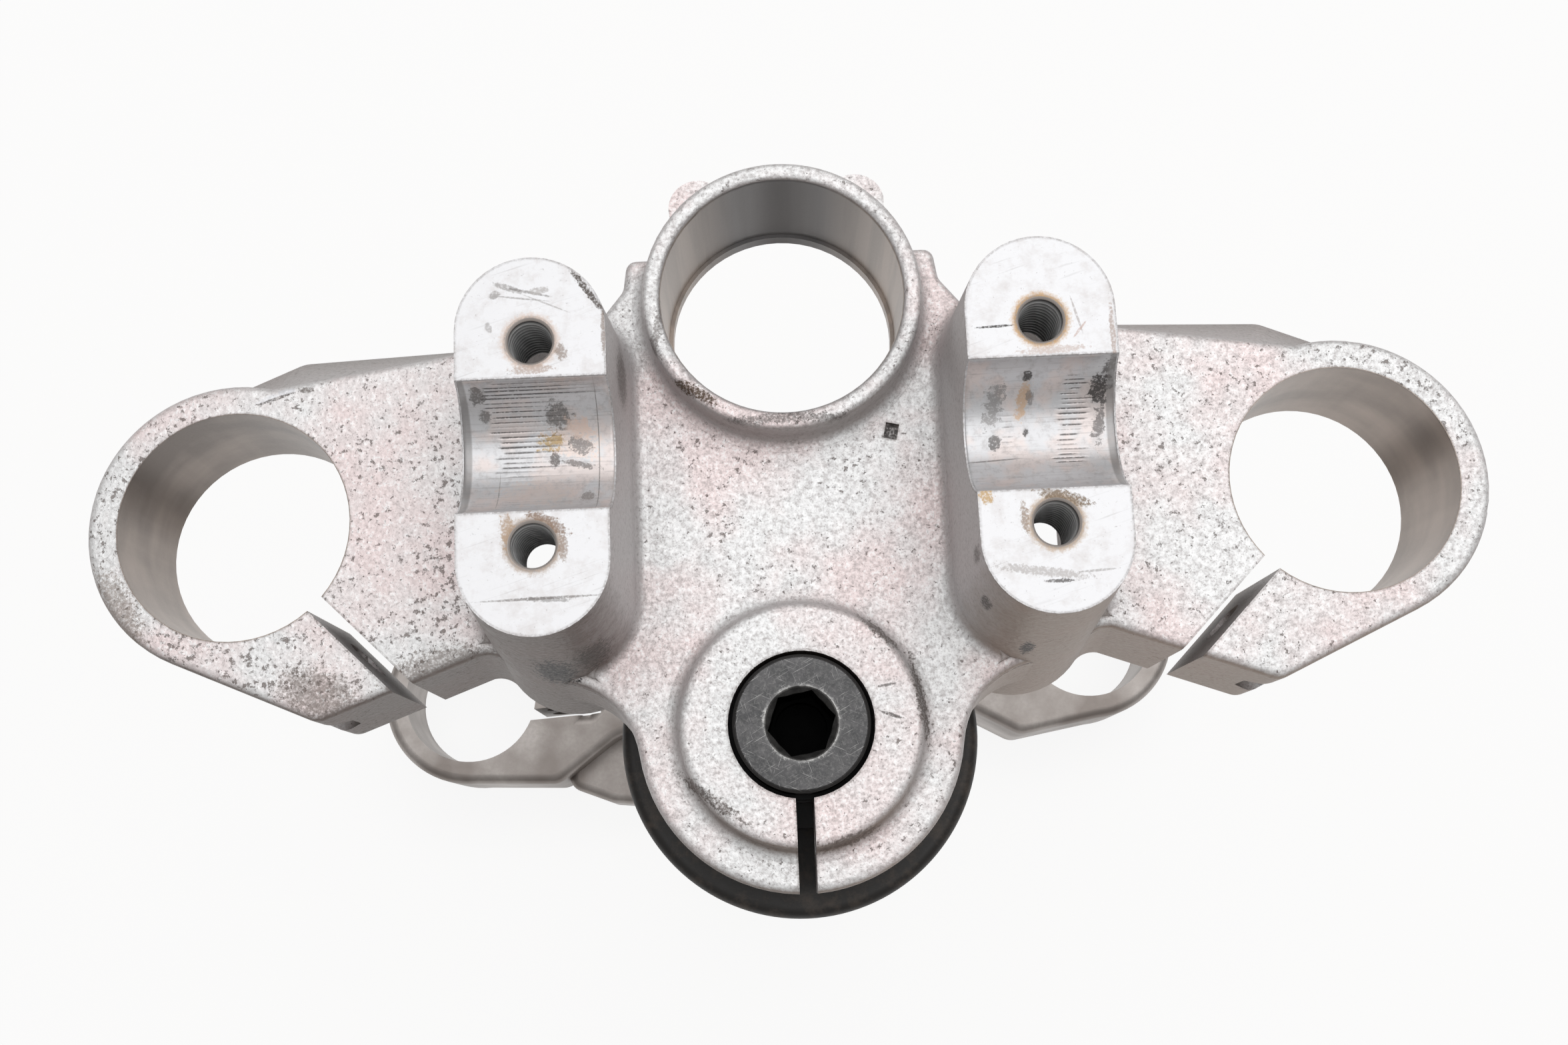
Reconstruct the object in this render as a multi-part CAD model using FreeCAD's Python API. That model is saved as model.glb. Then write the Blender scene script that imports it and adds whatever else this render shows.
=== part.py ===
"""Motorcycle triple clamp: the upper and lower fork clamps on their steering stem.

Millimetres. +Z runs up the steering axis and +Y points to the front of the motorcycle.
The origin is on the steering axis at the lower clamp's bottom face, on which the set
stands. The upper clamp is drawn about its deck, the flat top face of its arms, and the
lower clamp about its bottom face, and both are then put on the stem.
"""
import FreeCAD, Part
import math
import os

V = FreeCAD.Vector
SIDES = (-1, 1)
HALF_TURN_MIDDLE = math.sqrt(0.5)
CUT_REACH = 40.0

# Fits
SEAT_CLEARANCE = 0.02
RUNNING_CLEARANCE = 0.15
DUST_CAP_CLEARANCE = 0.7
DUST_CAP_RECESS = 1.0

# Fork geometry, shared by both clamps
FORK_X = 98.5
FORK_Y = 39.5
FORK_BORE_R = 20.5
FORK_SLIT = 3.4
DECK_Z = 266.0
LOWER_TURN_DEG = 3.5

# Upper clamp: plate and arms
UPPER_DEPTH = 29.0
UPPER_RING_R = 26.0
WEB_DEPTH = 16.0
WEB_POCKET_FLOOR = 7.0
PLATE_EDGE_R = 1.6
CREASE_R = 2.6
CREASE_STEP = 0.3
LUG_CORNER = (83.5, 4.3)
ARM_ROOT_REAR = (54.8, 14.9)
ARM_ROOT_FRONT_Y = 70.6
ARM_FRONT_GAP = 24.0
ARM_FRONT_RUN = 8.0
ARM_BLEND_R = 5.0
LUG_CORNER_R = 3.5
ARM_POCKET_FLOOR = 8.0
ARM_WALL = 4.5
ARM_POCKET_REAR_Y = (33.0, 35.0)
ARM_POCKET_SIDE_X = (2.0, 1.5)
ARM_POCKET_SIDE_Y = 54.0
ARM_POCKET_FRONT = (80.0, 62.5)
ARM_POCKET_FRONT_Y = 66.0
ARM_POCKET_CORNER_R = 3.0
WEB_POCKET_REAR = (19.0, 33.0)
WEB_POCKET_FRONT = (15.5, 48.0)
WEB_POCKET_CORNER_R = 4.0
DECK_PIT = (18.5, 51.75)
DECK_PIT_SIZE = (2.4, 2.9)
DECK_PIT_DEPTH = 1.1
DECK_PIT_TURN_DEG = -13.0
SLIT_ANGLE_DEG = 45.0
SLIT_LEAD = 4.0
PINCH_REACH = 30.5
PINCH_CLEAR_R = 4.3
PINCH_THREAD_R = 3.4
PINCH_HEAD_R = 7.2
PINCH_THREAD_LENGTH = 22.0
PINCH_SEAT = 11.0

# Upper clamp: sloping lug on the front of each arm
FRONT_LUG_IN_X = 56.0
FRONT_LUG_OUT_X = 91.5
FRONT_LUG_END_X = 104.0
FRONT_LUG_Y = 74.6
FRONT_LUG_DROP = 18.0
FRONT_LUG_REAR_Y = 50.0
FRONT_LUG_IN_Y = 76.0
FRONT_LUG_END_Y = 62.5
FRONT_LUG_SKEW = 5.2
FRONT_LUG_CREST_Y = (68.4, 64.2, 62.2, 61.0)
FRONT_LUG_CREST_IN = (8.0, 12.0)
FRONT_LUG_CORNER_R = 6.0

# Upper clamp: handlebar risers
RISER_X = 41.2
RISER_TOP = 31.4
RISER_TOP_R = 12.2
RISER_TOP_REAR = 25.2
RISER_TOP_FRONT = 63.0
RISER_FOOT_R = 15.0
RISER_FOOT_REAR = 21.5
RISER_FOOT_FRONT = 63.4
RISER_WALL = 4.5
RISER_ROOF = 18.0
RISER_HOLE_Y = (27.5, 60.9)
RISER_HOLE_R = 4.0
BAR_R = 11.1
BAR_Y = 43.95
BAR_RISE = 2.1

# Upper clamp: ignition switch ring
IGNITION_Y = 75.85
IGNITION_BORE_R = 21.6
IGNITION_LIP_R = 20.9
IGNITION_LIP_HEIGHT = 3.0
IGNITION_OUT_R = 24.9
IGNITION_TOP = 7.4
IGNITION_DEPTH = 22.0
IGNITION_BOSS_X = 15.0
IGNITION_BOSS_REACH = 28.6
IGNITION_BOSS_R = 5.6
IGNITION_BOSS_TOP = -11.0
IGNITION_BOLT_R = 2.5
IGNITION_BOLT_LENGTH = 9.0
RIM_R = 1.2
EAR_X = 28.0
EAR_Y = 86.2
EAR_TIP_R = 2.0
EAR_NECK = (28.8, 80.5, 3.0)
EAR_ROOT = (34.0, 74.0, 2.0)

# Upper clamp: steering stem boss
BOSS_R = 21.0
BOSS_TOP = 4.5
FLANGE_R = 28.3
STEM_SLIT = 3.1
FLANK_R = 15.5
BLEND_RIM = 2.0
BLEND_SINK = 0.08
STEM_PINCH_Y = -20.4
STEM_PINCH_Z = -8.4
STEM_PINCH_SEAT_X = 10.0
STEM_PINCH_CLEAR_R = 3.3
STEM_PINCH_THREAD_R = 2.5
STEM_PINCH_HEAD_R = 5.6

# Steering stem
STEM_TOP_R = 12.5
STEM_MID_R = 13.6
STEM_FOOT_R = 15.0
STEM_BORE_R = 9.5
STEM_BELOW_DECK = 1.5
STEM_MID_TAPER = 12.0
STEM_FOOT_LAND = 1.0
STEM_TOP_LAND = 2.0

# Cap bolt in the top of the stem
CAP_HEAD_R = 11.7
CAP_HEAD_TOP = 6.5
CAP_THREAD_R = 10.0
CAP_THREAD_LENGTH = 24.0
CAP_THREAD_LEAD = 1.0
CAP_THREAD_RELIEF = 2.0
CAP_HEX_FLATS = 10.2
CAP_HEX_DEPTH = 12.0
CAP_MOUTH_R = 6.3
CAP_MOUTH_INSET = 0.8
CAP_DRILL_R = 4.6
CAP_DRILL_DEPTH = 16.0
CAP_EDGE = 0.6
CAP_TURN_DEG = 10.4

# Bearing adjuster nut
NUT_R = 19.5
NUT_HEIGHT = 5.2
NUT_SLOTS = 6
NUT_SLOT_WIDTH = 5.0
NUT_SLOT_DEPTH = 2.6
NUT_EDGE = 0.6

# Upper dust cap
CAP_R = 33.0
CAP_SHEET = 1.2
CAP_SKIRT = 7.5
CAP_BEND_R = 2.2

# Tapered roller bearings: height, wall of the inner race and rollers
UPPER_BEARING_HEIGHT = 15.0
UPPER_RACE_WALL = 2.05
UPPER_ROLLER_R = 2.8
UPPER_ROLLER_LENGTH = 9.0
UPPER_ROLLERS = 16
LOWER_BEARING_HEIGHT = 17.0
LOWER_RACE_WALL = 2.34
LOWER_ROLLER_R = 3.3
LOWER_ROLLER_LENGTH = 10.6
LOWER_ROLLERS = 16
ROLLER_TILT_DEG = 13.0
ROLLER_RISE = 0.4
RACE_RIB_PROUD = 2.6
RACE_LIP = 0.6
CAGE_SHEET = 1.0
CAGE_RIM = 1.2
CAGE_OUTWARD = 0.28

# Lower dust seal
SEAL_BASE = 1.2
SEAL_LIP_HEIGHT = 4.6
SEAL_LIP_THICK = 2.2
SEAL_LIP_TAPER = 0.6
SEAL_GAP = 1.3

# Lower clamp
LOWER_DEPTH = 29.0
LOWER_RING_R = 27.3
LOWER_HUB_R = 31.0
LOWER_HUB_RISE = 4.0
LOWER_REAR_KNEE = (73.0, 9.4)
LOWER_REAR_WAIST = (51.3, 23.4)
LOWER_FRONT_Y = 54.0
LOWER_STEP = (61.5, 30.0)
LOWER_STEP_TOP = (48.0, 42.0)
LOWER_SHOULDER_RUN = 14.0
LOWER_SHOULDER_R = 6.0
LOWER_STEP_TOP_R = 4.0
LOWER_STEP_R = 0.8
LOWER_KNEE_R = 6.0
LOWER_WAIST_R = 10.0
LOWER_RING_OVERLAP = 10.0
LOWER_HUB_OVERLAP = 6.0
LOWER_HUB_ROOT_Y = 15.0
LOWER_SLIT_Y = 30.1
LOWER_FINGER_IN_X = 64.0
LOWER_FINGER_FRONT_Y = 48.5
LOWER_FINGER_RUN = (16.0, 5.0)
LOWER_FINGER_R = (6.0, 5.0)
LOWER_SLIT_LEAD = 6.0
LOWER_PINCH_X = 71.5
LOWER_PINCH_Z = (7.8, 21.2)
LOWER_PINCH_SEAT = 3.0
LOWER_PINCH_HEAD_R = 6.4
LOWER_PINCH_THREAD_LENGTH = 14.0
LOWER_EDGE_R = 3.0
LOWER_LUG = ((-76.0, 11.0), (-57.5, 2.2), (-47.0, 0.4), (-38.0, 12.0), (-52.0, 26.0))
LOWER_LUG_TOP = 20.0
LOWER_LUG_CORNER_R = 5.0


def on_stem(radius, z0, z1, x=0.0, y=0.0):
    """Upright cylinder between two heights."""
    return Part.makeCylinder(radius, z1 - z0, V(x, y, z0))


def rounded_wire(corners, z):
    """Closed wire through (x, y, radius) corners, each rounded by a tangent arc."""
    spans = []
    count = len(corners)
    for index, (x, y, radius) in enumerate(corners):
        here = V(x, y, z)
        before = V(*corners[index - 1][:2], z)
        after = V(*corners[(index + 1) % count][:2], z)
        back = (before - here).normalize()
        ahead = (after - here).normalize()
        half = back.getAngle(ahead) / 2
        if radius:
            inward = (back + ahead).normalize()
            reach = radius / math.tan(half)
            middle = here + inward * (radius / math.sin(half) - radius)
            spans.append((here + back * reach, middle, here + ahead * reach))
        else:
            spans.append((here, None, here))
    edges = []
    for index, (start, middle, end) in enumerate(spans):
        if middle:
            edges.append(Part.Arc(start, middle, end).toShape())
        edges.append(Part.LineSegment(end, spans[(index + 1) % count][0]).toShape())
    return Part.Wire(edges)


def rounded_prism(corners, z0, z1):
    """Upright prism on a rounded outline."""
    return Part.Face(rounded_wire(corners, z0)).extrude(V(0, 0, z1 - z0))


def stadium_wire(x, rear, front, radius, z):
    """Long round-ended outline that runs front to rear."""
    rear_arc = Part.Arc(V(x - radius, rear, z), V(x, rear - radius, z), V(x + radius, rear, z))
    front_arc = Part.Arc(V(x + radius, front, z), V(x, front + radius, z), V(x - radius, front, z))
    right = Part.LineSegment(V(x + radius, rear, z), V(x + radius, front, z))
    left = Part.LineSegment(V(x - radius, front, z), V(x - radius, rear, z))
    return Part.Wire([item.toShape() for item in (rear_arc, right, front_arc, left)])


def revolved(profile):
    """Solid of revolution about the steering axis from (radius, z) corners."""
    wire = Part.makePolygon([V(r, 0, z) for r, z in profile] + [V(profile[0][0], 0, profile[0][1])])
    return Part.Face(wire).revolve(V(0, 0, 0), V(0, 0, 1), 360)


def mirrored(shape):
    """The same shape on the other side of the motorcycle."""
    return shape.mirror(V(0, 0, 0), V(1, 0, 0))


def both_sides(shape):
    """A shape and its mirror image."""
    return [shape, mirrored(shape)]


def fused(shapes):
    """One clean solid from several that overlap."""
    return shapes[0].multiFuse(shapes[1:]).removeSplitter()


def flat_edges(shape, z):
    """Edges that lie in one horizontal plane."""
    return [e for e in shape.Edges
            if abs(e.BoundBox.ZMin - z) < 1e-4 and abs(e.BoundBox.ZMax - z) < 1e-4]


def along(origin, direction, length, radius):
    """Cylinder from a point along a direction."""
    return Part.makeCylinder(radius, length, origin, direction)


def flank_pivot(z, sink=0.0):
    """Centre of the concave flank between the stem flange and the right riser."""
    rear, _, radius = riser_section(z)
    gap = V(RISER_X, rear, 0)
    span = gap.Length
    reach_a, reach_b = FLANGE_R + FLANK_R - sink, radius + FLANK_R - sink
    advance = (reach_a ** 2 - reach_b ** 2 + span ** 2) / (2 * span)
    offset = math.sqrt(reach_a ** 2 - advance ** 2)
    axis = gap.normalize()
    return axis * advance + V(axis.y, -axis.x, 0) * offset + V(0, 0, z)


def flank_wire(z, sink):
    """Web between the stem flange and the right riser."""
    rear, _, radius = riser_section(z)
    a, b, pivot = V(0, 0, z), V(RISER_X, rear, z), flank_pivot(z, sink)
    touch_a = a + (pivot - a).normalize() * (FLANGE_R - sink)
    touch_b = b + (pivot - b).normalize() * (radius - sink)
    return concave_corner(a, touch_a, pivot, touch_b, b)


def arm_blend_pivot(z, sink=0.0):
    """Centre of the concave blend between the arm's rear wall and the right riser."""
    rear, _, radius = riser_section(z)
    run, out = arm_rear_run()
    foot = V(*ARM_ROOT_REAR, z) + out * (ARM_BLEND_R - sink)
    gap = V(RISER_X, rear, z) - foot
    advance = gap.dot(run)
    offset = math.sqrt((radius + ARM_BLEND_R - sink) ** 2 - gap.Length ** 2 + advance ** 2)
    return foot + run * (advance + offset)


def arm_blend_wire(z, sink):
    """Corner between the arm's rear wall and the right riser."""
    rear, _, radius = riser_section(z)
    centre, pivot = V(RISER_X, rear, z), arm_blend_pivot(z, sink)
    touch_wall = pivot - arm_rear_run()[1] * ARM_BLEND_R
    touch_riser = centre + (pivot - centre).normalize() * (radius - sink)
    return concave_corner(centre, touch_riser, pivot, touch_wall, centre)


def arm_rear_run():
    """Direction of the arm's rear wall, and the direction out of it."""
    run = (V(*LUG_CORNER, 0) - V(*ARM_ROOT_REAR, 0)).normalize()
    return run, V(run.y, -run.x, 0)


def concave_corner(start, touch_start, pivot, touch_end, end):
    """Closed wire whose arc about the pivot bridges two touching points."""
    half = ((touch_start - pivot) + (touch_end - pivot)).normalize()
    middle = pivot + half * (touch_start - pivot).Length
    edges = [Part.LineSegment(start, touch_start).toShape(),
             Part.Arc(touch_start, middle, touch_end).toShape(),
             Part.LineSegment(touch_end, end).toShape()]
    if (end - start).Length > BLEND_RIM:
        edges.append(Part.LineSegment(end, start).toShape())
    return Part.Wire(edges)


def blend_rim(wire):
    """Upright rim of a blend, which takes the rounding of the plate's edge."""
    return Part.Face(wire(0, 0.0)).extrude(V(0, 0, -BLEND_RIM))


def blend_wall(wire, depth):
    """Wall of a blend under its rim, which follows the riser's draft and starts just inside its neighbours."""
    return Part.makeLoft([wire(-depth, BLEND_SINK), wire(-BLEND_RIM, BLEND_SINK)], True, True)


def crease_trim(pivot, radius):
    """Cone that runs a riser's cove out where a blend leaves the deck."""
    reach = radius + PLATE_EDGE_R
    return Part.makeCone(reach, reach + 3 * CREASE_R, 3 * CREASE_R, V(pivot.x, pivot.y, -CREASE_STEP))


def cove_ring(wall_r, x, y):
    """Cove between the deck and an upright post."""
    inner, top, foot = wall_r - CREASE_R, CREASE_R, -CREASE_STEP
    centre_r = wall_r + CREASE_R
    outer = centre_r - CREASE_STEP
    low = CREASE_R - math.sqrt(CREASE_R ** 2 - CREASE_STEP ** 2)
    sag = CREASE_R * HALF_TURN_MIDDLE
    arc = Part.Arc(V(outer, 0, low), V(centre_r - sag, 0, CREASE_R - sag), V(wall_r, 0, top))
    corners = [V(wall_r, 0, top), V(inner, 0, top), V(inner, 0, foot), V(outer, 0, foot), V(outer, 0, low)]
    sides = [Part.LineSegment(a, b).toShape() for a, b in zip(corners, corners[1:])]
    ring = Part.Face(Part.Wire([arc.toShape()] + sides)).revolve(V(0, 0, 0), V(0, 0, 1), 360)
    ring.translate(V(x, y, 0))
    return ring


def riser_crease():
    """Foot of the right riser above the deck, with its cove, drawn on a slab that is then taken away."""
    rear, front, radius = riser_section(0)
    slab = Part.Face(stadium_wire(RISER_X, rear, front, radius + 2 * CREASE_R, -CREASE_R))
    foot = fused([riser_loft(-CREASE_R, 2 * CREASE_R, 0), slab.extrude(V(0, 0, CREASE_R))])
    spine = Part.LineSegment(V(RISER_X, rear, 0), V(RISER_X, front, 0)).toShape()
    crease = []
    for edge in flat_edges(foot, 0):
        middle = edge.valueAt((edge.FirstParameter + edge.LastParameter) / 2)
        if spine.distToShape(Part.Vertex(middle))[0] < radius + CREASE_R:
            crease.append(edge)
    foot = foot.makeFillet(CREASE_R, crease)
    reach = Part.Face(stadium_wire(RISER_X, rear, front, radius + CREASE_R - CREASE_STEP, -CREASE_STEP))
    trims = [crease_trim(flank_pivot(0), FLANK_R), crease_trim(arm_blend_pivot(0), ARM_BLEND_R)]
    return foot.common(reach.extrude(V(0, 0, 3 * CREASE_R))).cut(trims)


def riser_section(z):
    """Centre line ends and half width of a riser at a height above the deck."""
    share = (z + UPPER_DEPTH) / (RISER_TOP + UPPER_DEPTH)
    rear = RISER_FOOT_REAR + share * (RISER_TOP_REAR - RISER_FOOT_REAR)
    front = RISER_FOOT_FRONT + share * (RISER_TOP_FRONT - RISER_FOOT_FRONT)
    radius = RISER_FOOT_R + share * (RISER_TOP_R - RISER_FOOT_R)
    return rear, front, radius


def riser_loft(z0, z1, inset):
    """Drafted riser body, or its core when inset by the wall."""
    wires = []
    for z in (z0, z1):
        rear, front, radius = riser_section(z)
        wires.append(stadium_wire(RISER_X, rear, front, radius - inset, z))
    return Part.makeLoft(wires, True, True)


def slit_direction():
    """From the fork axis of the right side towards the pinch slit."""
    angle = math.radians(SLIT_ANGLE_DEG)
    return V(-math.cos(angle), -math.sin(angle), 0)


def arm_corners():
    """Outline of the right arm, tangent to the fork ring at the rear."""
    axis = V(FORK_X, FORK_Y, 0)
    lug = V(*LUG_CORNER, 0)
    distance = (axis - lug).Length
    swing = math.asin(UPPER_RING_R / distance)
    heading = math.atan2(axis.y - lug.y, axis.x - lug.x) - swing
    tangent = lug + V(math.cos(heading), math.sin(heading), 0) * math.sqrt(distance ** 2 - UPPER_RING_R ** 2)
    root = V(ARM_ROOT_REAR[0], ARM_ROOT_FRONT_Y, 0)
    away = (axis - root).Length
    lean = math.atan2(axis.y - root.y, axis.x - root.x) + math.asin(ARM_FRONT_GAP / away)
    front = root + V(math.cos(lean), math.sin(lean), 0) * (away * math.cos(math.asin(ARM_FRONT_GAP / away)))
    return [
        (front.x + ARM_FRONT_RUN * math.cos(lean), front.y + ARM_FRONT_RUN * math.sin(lean), 0),
        (root.x, root.y, 0),
        (RISER_X, root.y, 0),
        (RISER_X, RISER_FOOT_REAR, 0),
        (ARM_ROOT_REAR[0], ARM_ROOT_REAR[1], 0),
        (lug.x, lug.y, LUG_CORNER_R),
        (tangent.x, tangent.y, 0),
        (axis.x, axis.y, 0),
    ]


def upper_plate():
    """Arms, centre web and stem flange with a rounded top edge."""
    arm = rounded_prism(arm_corners(), -UPPER_DEPTH, 0)
    ring = on_stem(UPPER_RING_R, -UPPER_DEPTH, 0, FORK_X, FORK_Y)
    half = [(RISER_X, RISER_FOOT_REAR, 0), (RISER_X, ARM_ROOT_FRONT_Y, 0), EAR_ROOT, EAR_NECK,
            (EAR_X, EAR_Y, EAR_TIP_R)]
    web = rounded_prism(half + [(-x, y, radius) for x, y, radius in half[::-1]] + [(0, 0, 0)], -WEB_DEPTH, 0)
    flange = on_stem(FLANGE_R, -WEB_DEPTH, 0)
    rear, _, radius = riser_section(0)
    root = on_stem(radius, -WEB_DEPTH, 0, RISER_X, rear)
    pieces = [web, flange]
    for piece in (arm, ring, root, blend_rim(flank_wire), blend_rim(arm_blend_wire)):
        pieces += both_sides(piece)
    plate = fused(pieces)
    plate = plate.makeFillet(PLATE_EDGE_R, flat_edges(plate, 0))
    deck = [face for face in plate.Faces if abs(face.BoundBox.ZMin) < 1e-4 and face.BoundBox.ZLength < 1e-4]
    above = fused([face.extrude(V(0, 0, 3 * CREASE_R)) for face in deck])
    above.translate(V(0, 0, -CREASE_STEP))
    return plate, above


def front_lug():
    """Lug on the front of the right arm: a sloping face that ends in an upright one."""
    foot = [(FRONT_LUG_IN_X, FRONT_LUG_REAR_Y, 0), (FRONT_LUG_IN_X, FRONT_LUG_IN_Y, 0),
            (FRONT_LUG_OUT_X, FRONT_LUG_Y, FRONT_LUG_CORNER_R),
            (FRONT_LUG_END_X, FRONT_LUG_Y - FRONT_LUG_SKEW, 0),
            (FRONT_LUG_END_X, FRONT_LUG_END_Y, 0)]
    inner, outer, end, tail = FRONT_LUG_CREST_Y
    shift, end_shift = FRONT_LUG_CREST_IN
    crest = [(FRONT_LUG_IN_X, FRONT_LUG_REAR_Y, 0), (FRONT_LUG_IN_X, inner, 0),
             (FRONT_LUG_OUT_X - shift, outer, FRONT_LUG_CORNER_R), (FRONT_LUG_END_X - end_shift, end, 0),
             (FRONT_LUG_END_X - end_shift, tail, 0)]
    wires = [rounded_wire(foot, -FRONT_LUG_DROP), rounded_wire(crest, -PLATE_EDGE_R)]
    slope = Part.makeLoft(wires, True, True)
    return slope.fuse(rounded_prism(foot, -UPPER_DEPTH, -FRONT_LUG_DROP))


def ignition_ring():
    """Ring with rounded rims that holds the ignition switch, with two bolt bosses."""
    body = on_stem(IGNITION_OUT_R, -IGNITION_DEPTH, IGNITION_TOP, 0, IGNITION_Y)
    body = body.makeFillet(RIM_R, flat_edges(body, IGNITION_TOP))
    bosses = []
    for side in SIDES:
        reach = math.sqrt(IGNITION_BOSS_REACH ** 2 - IGNITION_BOSS_X ** 2)
        x = side * IGNITION_BOSS_X
        bosses.append(on_stem(IGNITION_BOSS_R, -IGNITION_DEPTH, IGNITION_BOSS_TOP, x, IGNITION_Y + reach))
    return body, bosses


def ignition_bore():
    """Bore of the ignition ring, with a rounded mouth."""
    mouth, top, lip = IGNITION_BORE_R + RIM_R, IGNITION_TOP, IGNITION_LIP_HEIGHT - IGNITION_DEPTH
    sag = RIM_R * HALF_TURN_MIDDLE
    arc = Part.Arc(V(IGNITION_BORE_R, 0, top - RIM_R), V(mouth - sag, 0, top - RIM_R + sag), V(mouth, 0, top))
    corners = [V(mouth, 0, top), V(mouth, 0, top + 1), V(0, 0, top + 1), V(0, 0, lip),
               V(IGNITION_BORE_R, 0, lip), V(IGNITION_BORE_R, 0, top - RIM_R)]
    sides = [Part.LineSegment(a, b).toShape() for a, b in zip(corners, corners[1:])]
    bore = Part.Face(Part.Wire([arc.toShape()] + sides)).revolve(V(0, 0, 0), V(0, 0, 1), 360)
    bore.translate(V(0, IGNITION_Y, 0))
    return bore


def fork_pinch_cuts():
    """Slit, clearance hole, thread and spot face of the right fork clamp."""
    axis = V(FORK_X, FORK_Y, 0)
    out = slit_direction()
    across = V(out.y, -out.x, 0)
    if across.x < 0:
        across = across * -1
    slit = Part.makeBox(CUT_REACH, FORK_SLIT, UPPER_DEPTH + 2,
                        V(FORK_BORE_R - SLIT_LEAD, -FORK_SLIT / 2, -UPPER_DEPTH - 1))
    slit.rotate(V(0, 0, 0), V(0, 0, 1), 180 + SLIT_ANGLE_DEG)
    slit.translate(axis)
    middle = axis + out * PINCH_REACH + V(0, 0, -UPPER_DEPTH / 2)
    clearance = along(middle, across, CUT_REACH, PINCH_CLEAR_R)
    thread = along(middle, across * -1, PINCH_THREAD_LENGTH, PINCH_THREAD_R)
    seat = along(middle + across * PINCH_SEAT, across, CUT_REACH, PINCH_HEAD_R)
    return [slit, clearance, thread, seat]


def stem_pinch_cuts():
    """Slit and cross bolt hole of the stem clamp."""
    slit = Part.makeBox(STEM_SLIT, FLANGE_R + 4, WEB_DEPTH + BOSS_TOP + 2,
                        V(-STEM_SLIT / 2, -FLANGE_R - 4, -WEB_DEPTH - 1))
    middle = V(0, STEM_PINCH_Y, STEM_PINCH_Z)
    right = V(1, 0, 0)
    clearance = along(middle, right, FLANGE_R, STEM_PINCH_CLEAR_R)
    seat = along(middle + right * STEM_PINCH_SEAT_X, right, FLANGE_R, STEM_PINCH_HEAD_R)
    thread = along(middle, right * -1, FLANGE_R, STEM_PINCH_THREAD_R)
    return [slit, clearance, seat, thread]


def riser_cuts():
    """Hollow core, handlebar saddle and threaded holes of the right riser."""
    core = riser_loft(-UPPER_DEPTH, RISER_TOP - RISER_ROOF, RISER_WALL)
    core = core.cut(on_stem(CAP_R + DUST_CAP_RECESS + RISER_WALL, -UPPER_DEPTH, RISER_TOP))
    saddle = along(V(RISER_X - 30, BAR_Y, RISER_TOP + BAR_RISE), V(1, 0, 0), 60, BAR_R)
    holes = [on_stem(RISER_HOLE_R, 0, RISER_TOP + 1, RISER_X, y) for y in RISER_HOLE_Y]
    return [core, saddle] + holes


def upper_pockets():
    """Core pockets in the underside of the arm and the web."""
    inner, outer = RISER_X + RISER_FOOT_R + ARM_WALL, FORK_X - UPPER_RING_R
    corners = [(inner, ARM_POCKET_REAR_Y[0]), (outer - ARM_POCKET_SIDE_X[0], ARM_POCKET_REAR_Y[1]),
               (outer + ARM_POCKET_SIDE_X[1], ARM_POCKET_SIDE_Y), ARM_POCKET_FRONT, (inner, ARM_POCKET_FRONT_Y)]
    arm = rounded_prism([(x, y, ARM_POCKET_CORNER_R) for x, y in corners], -UPPER_DEPTH, -ARM_POCKET_FLOOR)
    corners = [(-WEB_POCKET_REAR[0], WEB_POCKET_REAR[1]), WEB_POCKET_REAR,
               WEB_POCKET_FRONT, (-WEB_POCKET_FRONT[0], WEB_POCKET_FRONT[1])]
    web = rounded_prism([(x, y, WEB_POCKET_CORNER_R) for x, y in corners], -WEB_DEPTH, -WEB_POCKET_FLOOR)
    return both_sides(arm) + [web]


def deck_pit():
    """Small square pit in the deck behind the ignition ring."""
    width, length = DECK_PIT_SIZE
    pit = Part.makeBox(width, length, DECK_PIT_DEPTH + 1, V(-width / 2, -length / 2, -DECK_PIT_DEPTH))
    pit.rotate(V(0, 0, 0), V(0, 0, 1), DECK_PIT_TURN_DEG)
    pit.translate(V(*DECK_PIT, 0))
    return pit


def upper_clamp():
    """The cast upper clamp in one piece."""
    ring, bosses = ignition_ring()
    boss = on_stem(BOSS_R, -WEB_DEPTH, BOSS_TOP)
    boss = boss.makeFillet(PLATE_EDGE_R, flat_edges(boss, BOSS_TOP))
    riser = riser_loft(-UPPER_DEPTH, RISER_TOP, 0)
    plate, above = upper_plate()
    coves = [cove_ring(IGNITION_OUT_R, 0, IGNITION_Y)] + both_sides(riser_crease())
    coves = [cove.common(above) for cove in coves] + [cove_ring(BOSS_R, 0, 0)]
    rights = [riser, front_lug(), blend_wall(flank_wire, WEB_DEPTH), blend_wall(arm_blend_wire, UPPER_DEPTH)]
    body = fused([plate, boss, ring] + coves + bosses + rights + [mirrored(piece) for piece in rights])
    cuts = [ignition_bore(),
            on_stem(IGNITION_LIP_R, -IGNITION_DEPTH, 0, 0, IGNITION_Y),
            on_stem(STEM_TOP_R + SEAT_CLEARANCE, -WEB_DEPTH, BOSS_TOP)]
    cuts += both_sides(on_stem(FORK_BORE_R, -UPPER_DEPTH, 0, FORK_X, FORK_Y))
    for cut in fork_pinch_cuts() + riser_cuts():
        cuts += both_sides(cut)
    cuts += stem_pinch_cuts() + upper_pockets() + [deck_pit()]
    cuts.append(on_stem(CAP_R + DUST_CAP_RECESS, -UPPER_DEPTH, -WEB_DEPTH - NUT_HEIGHT + DUST_CAP_CLEARANCE))
    for boss_hole in bosses:
        centre = boss_hole.BoundBox.Center
        cuts.append(on_stem(IGNITION_BOLT_R, -IGNITION_DEPTH, IGNITION_BOLT_LENGTH - IGNITION_DEPTH,
                            centre.x, centre.y))
    body = body.cut(cuts).removeSplitter()
    body.translate(V(0, 0, DECK_Z))
    return body


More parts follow.
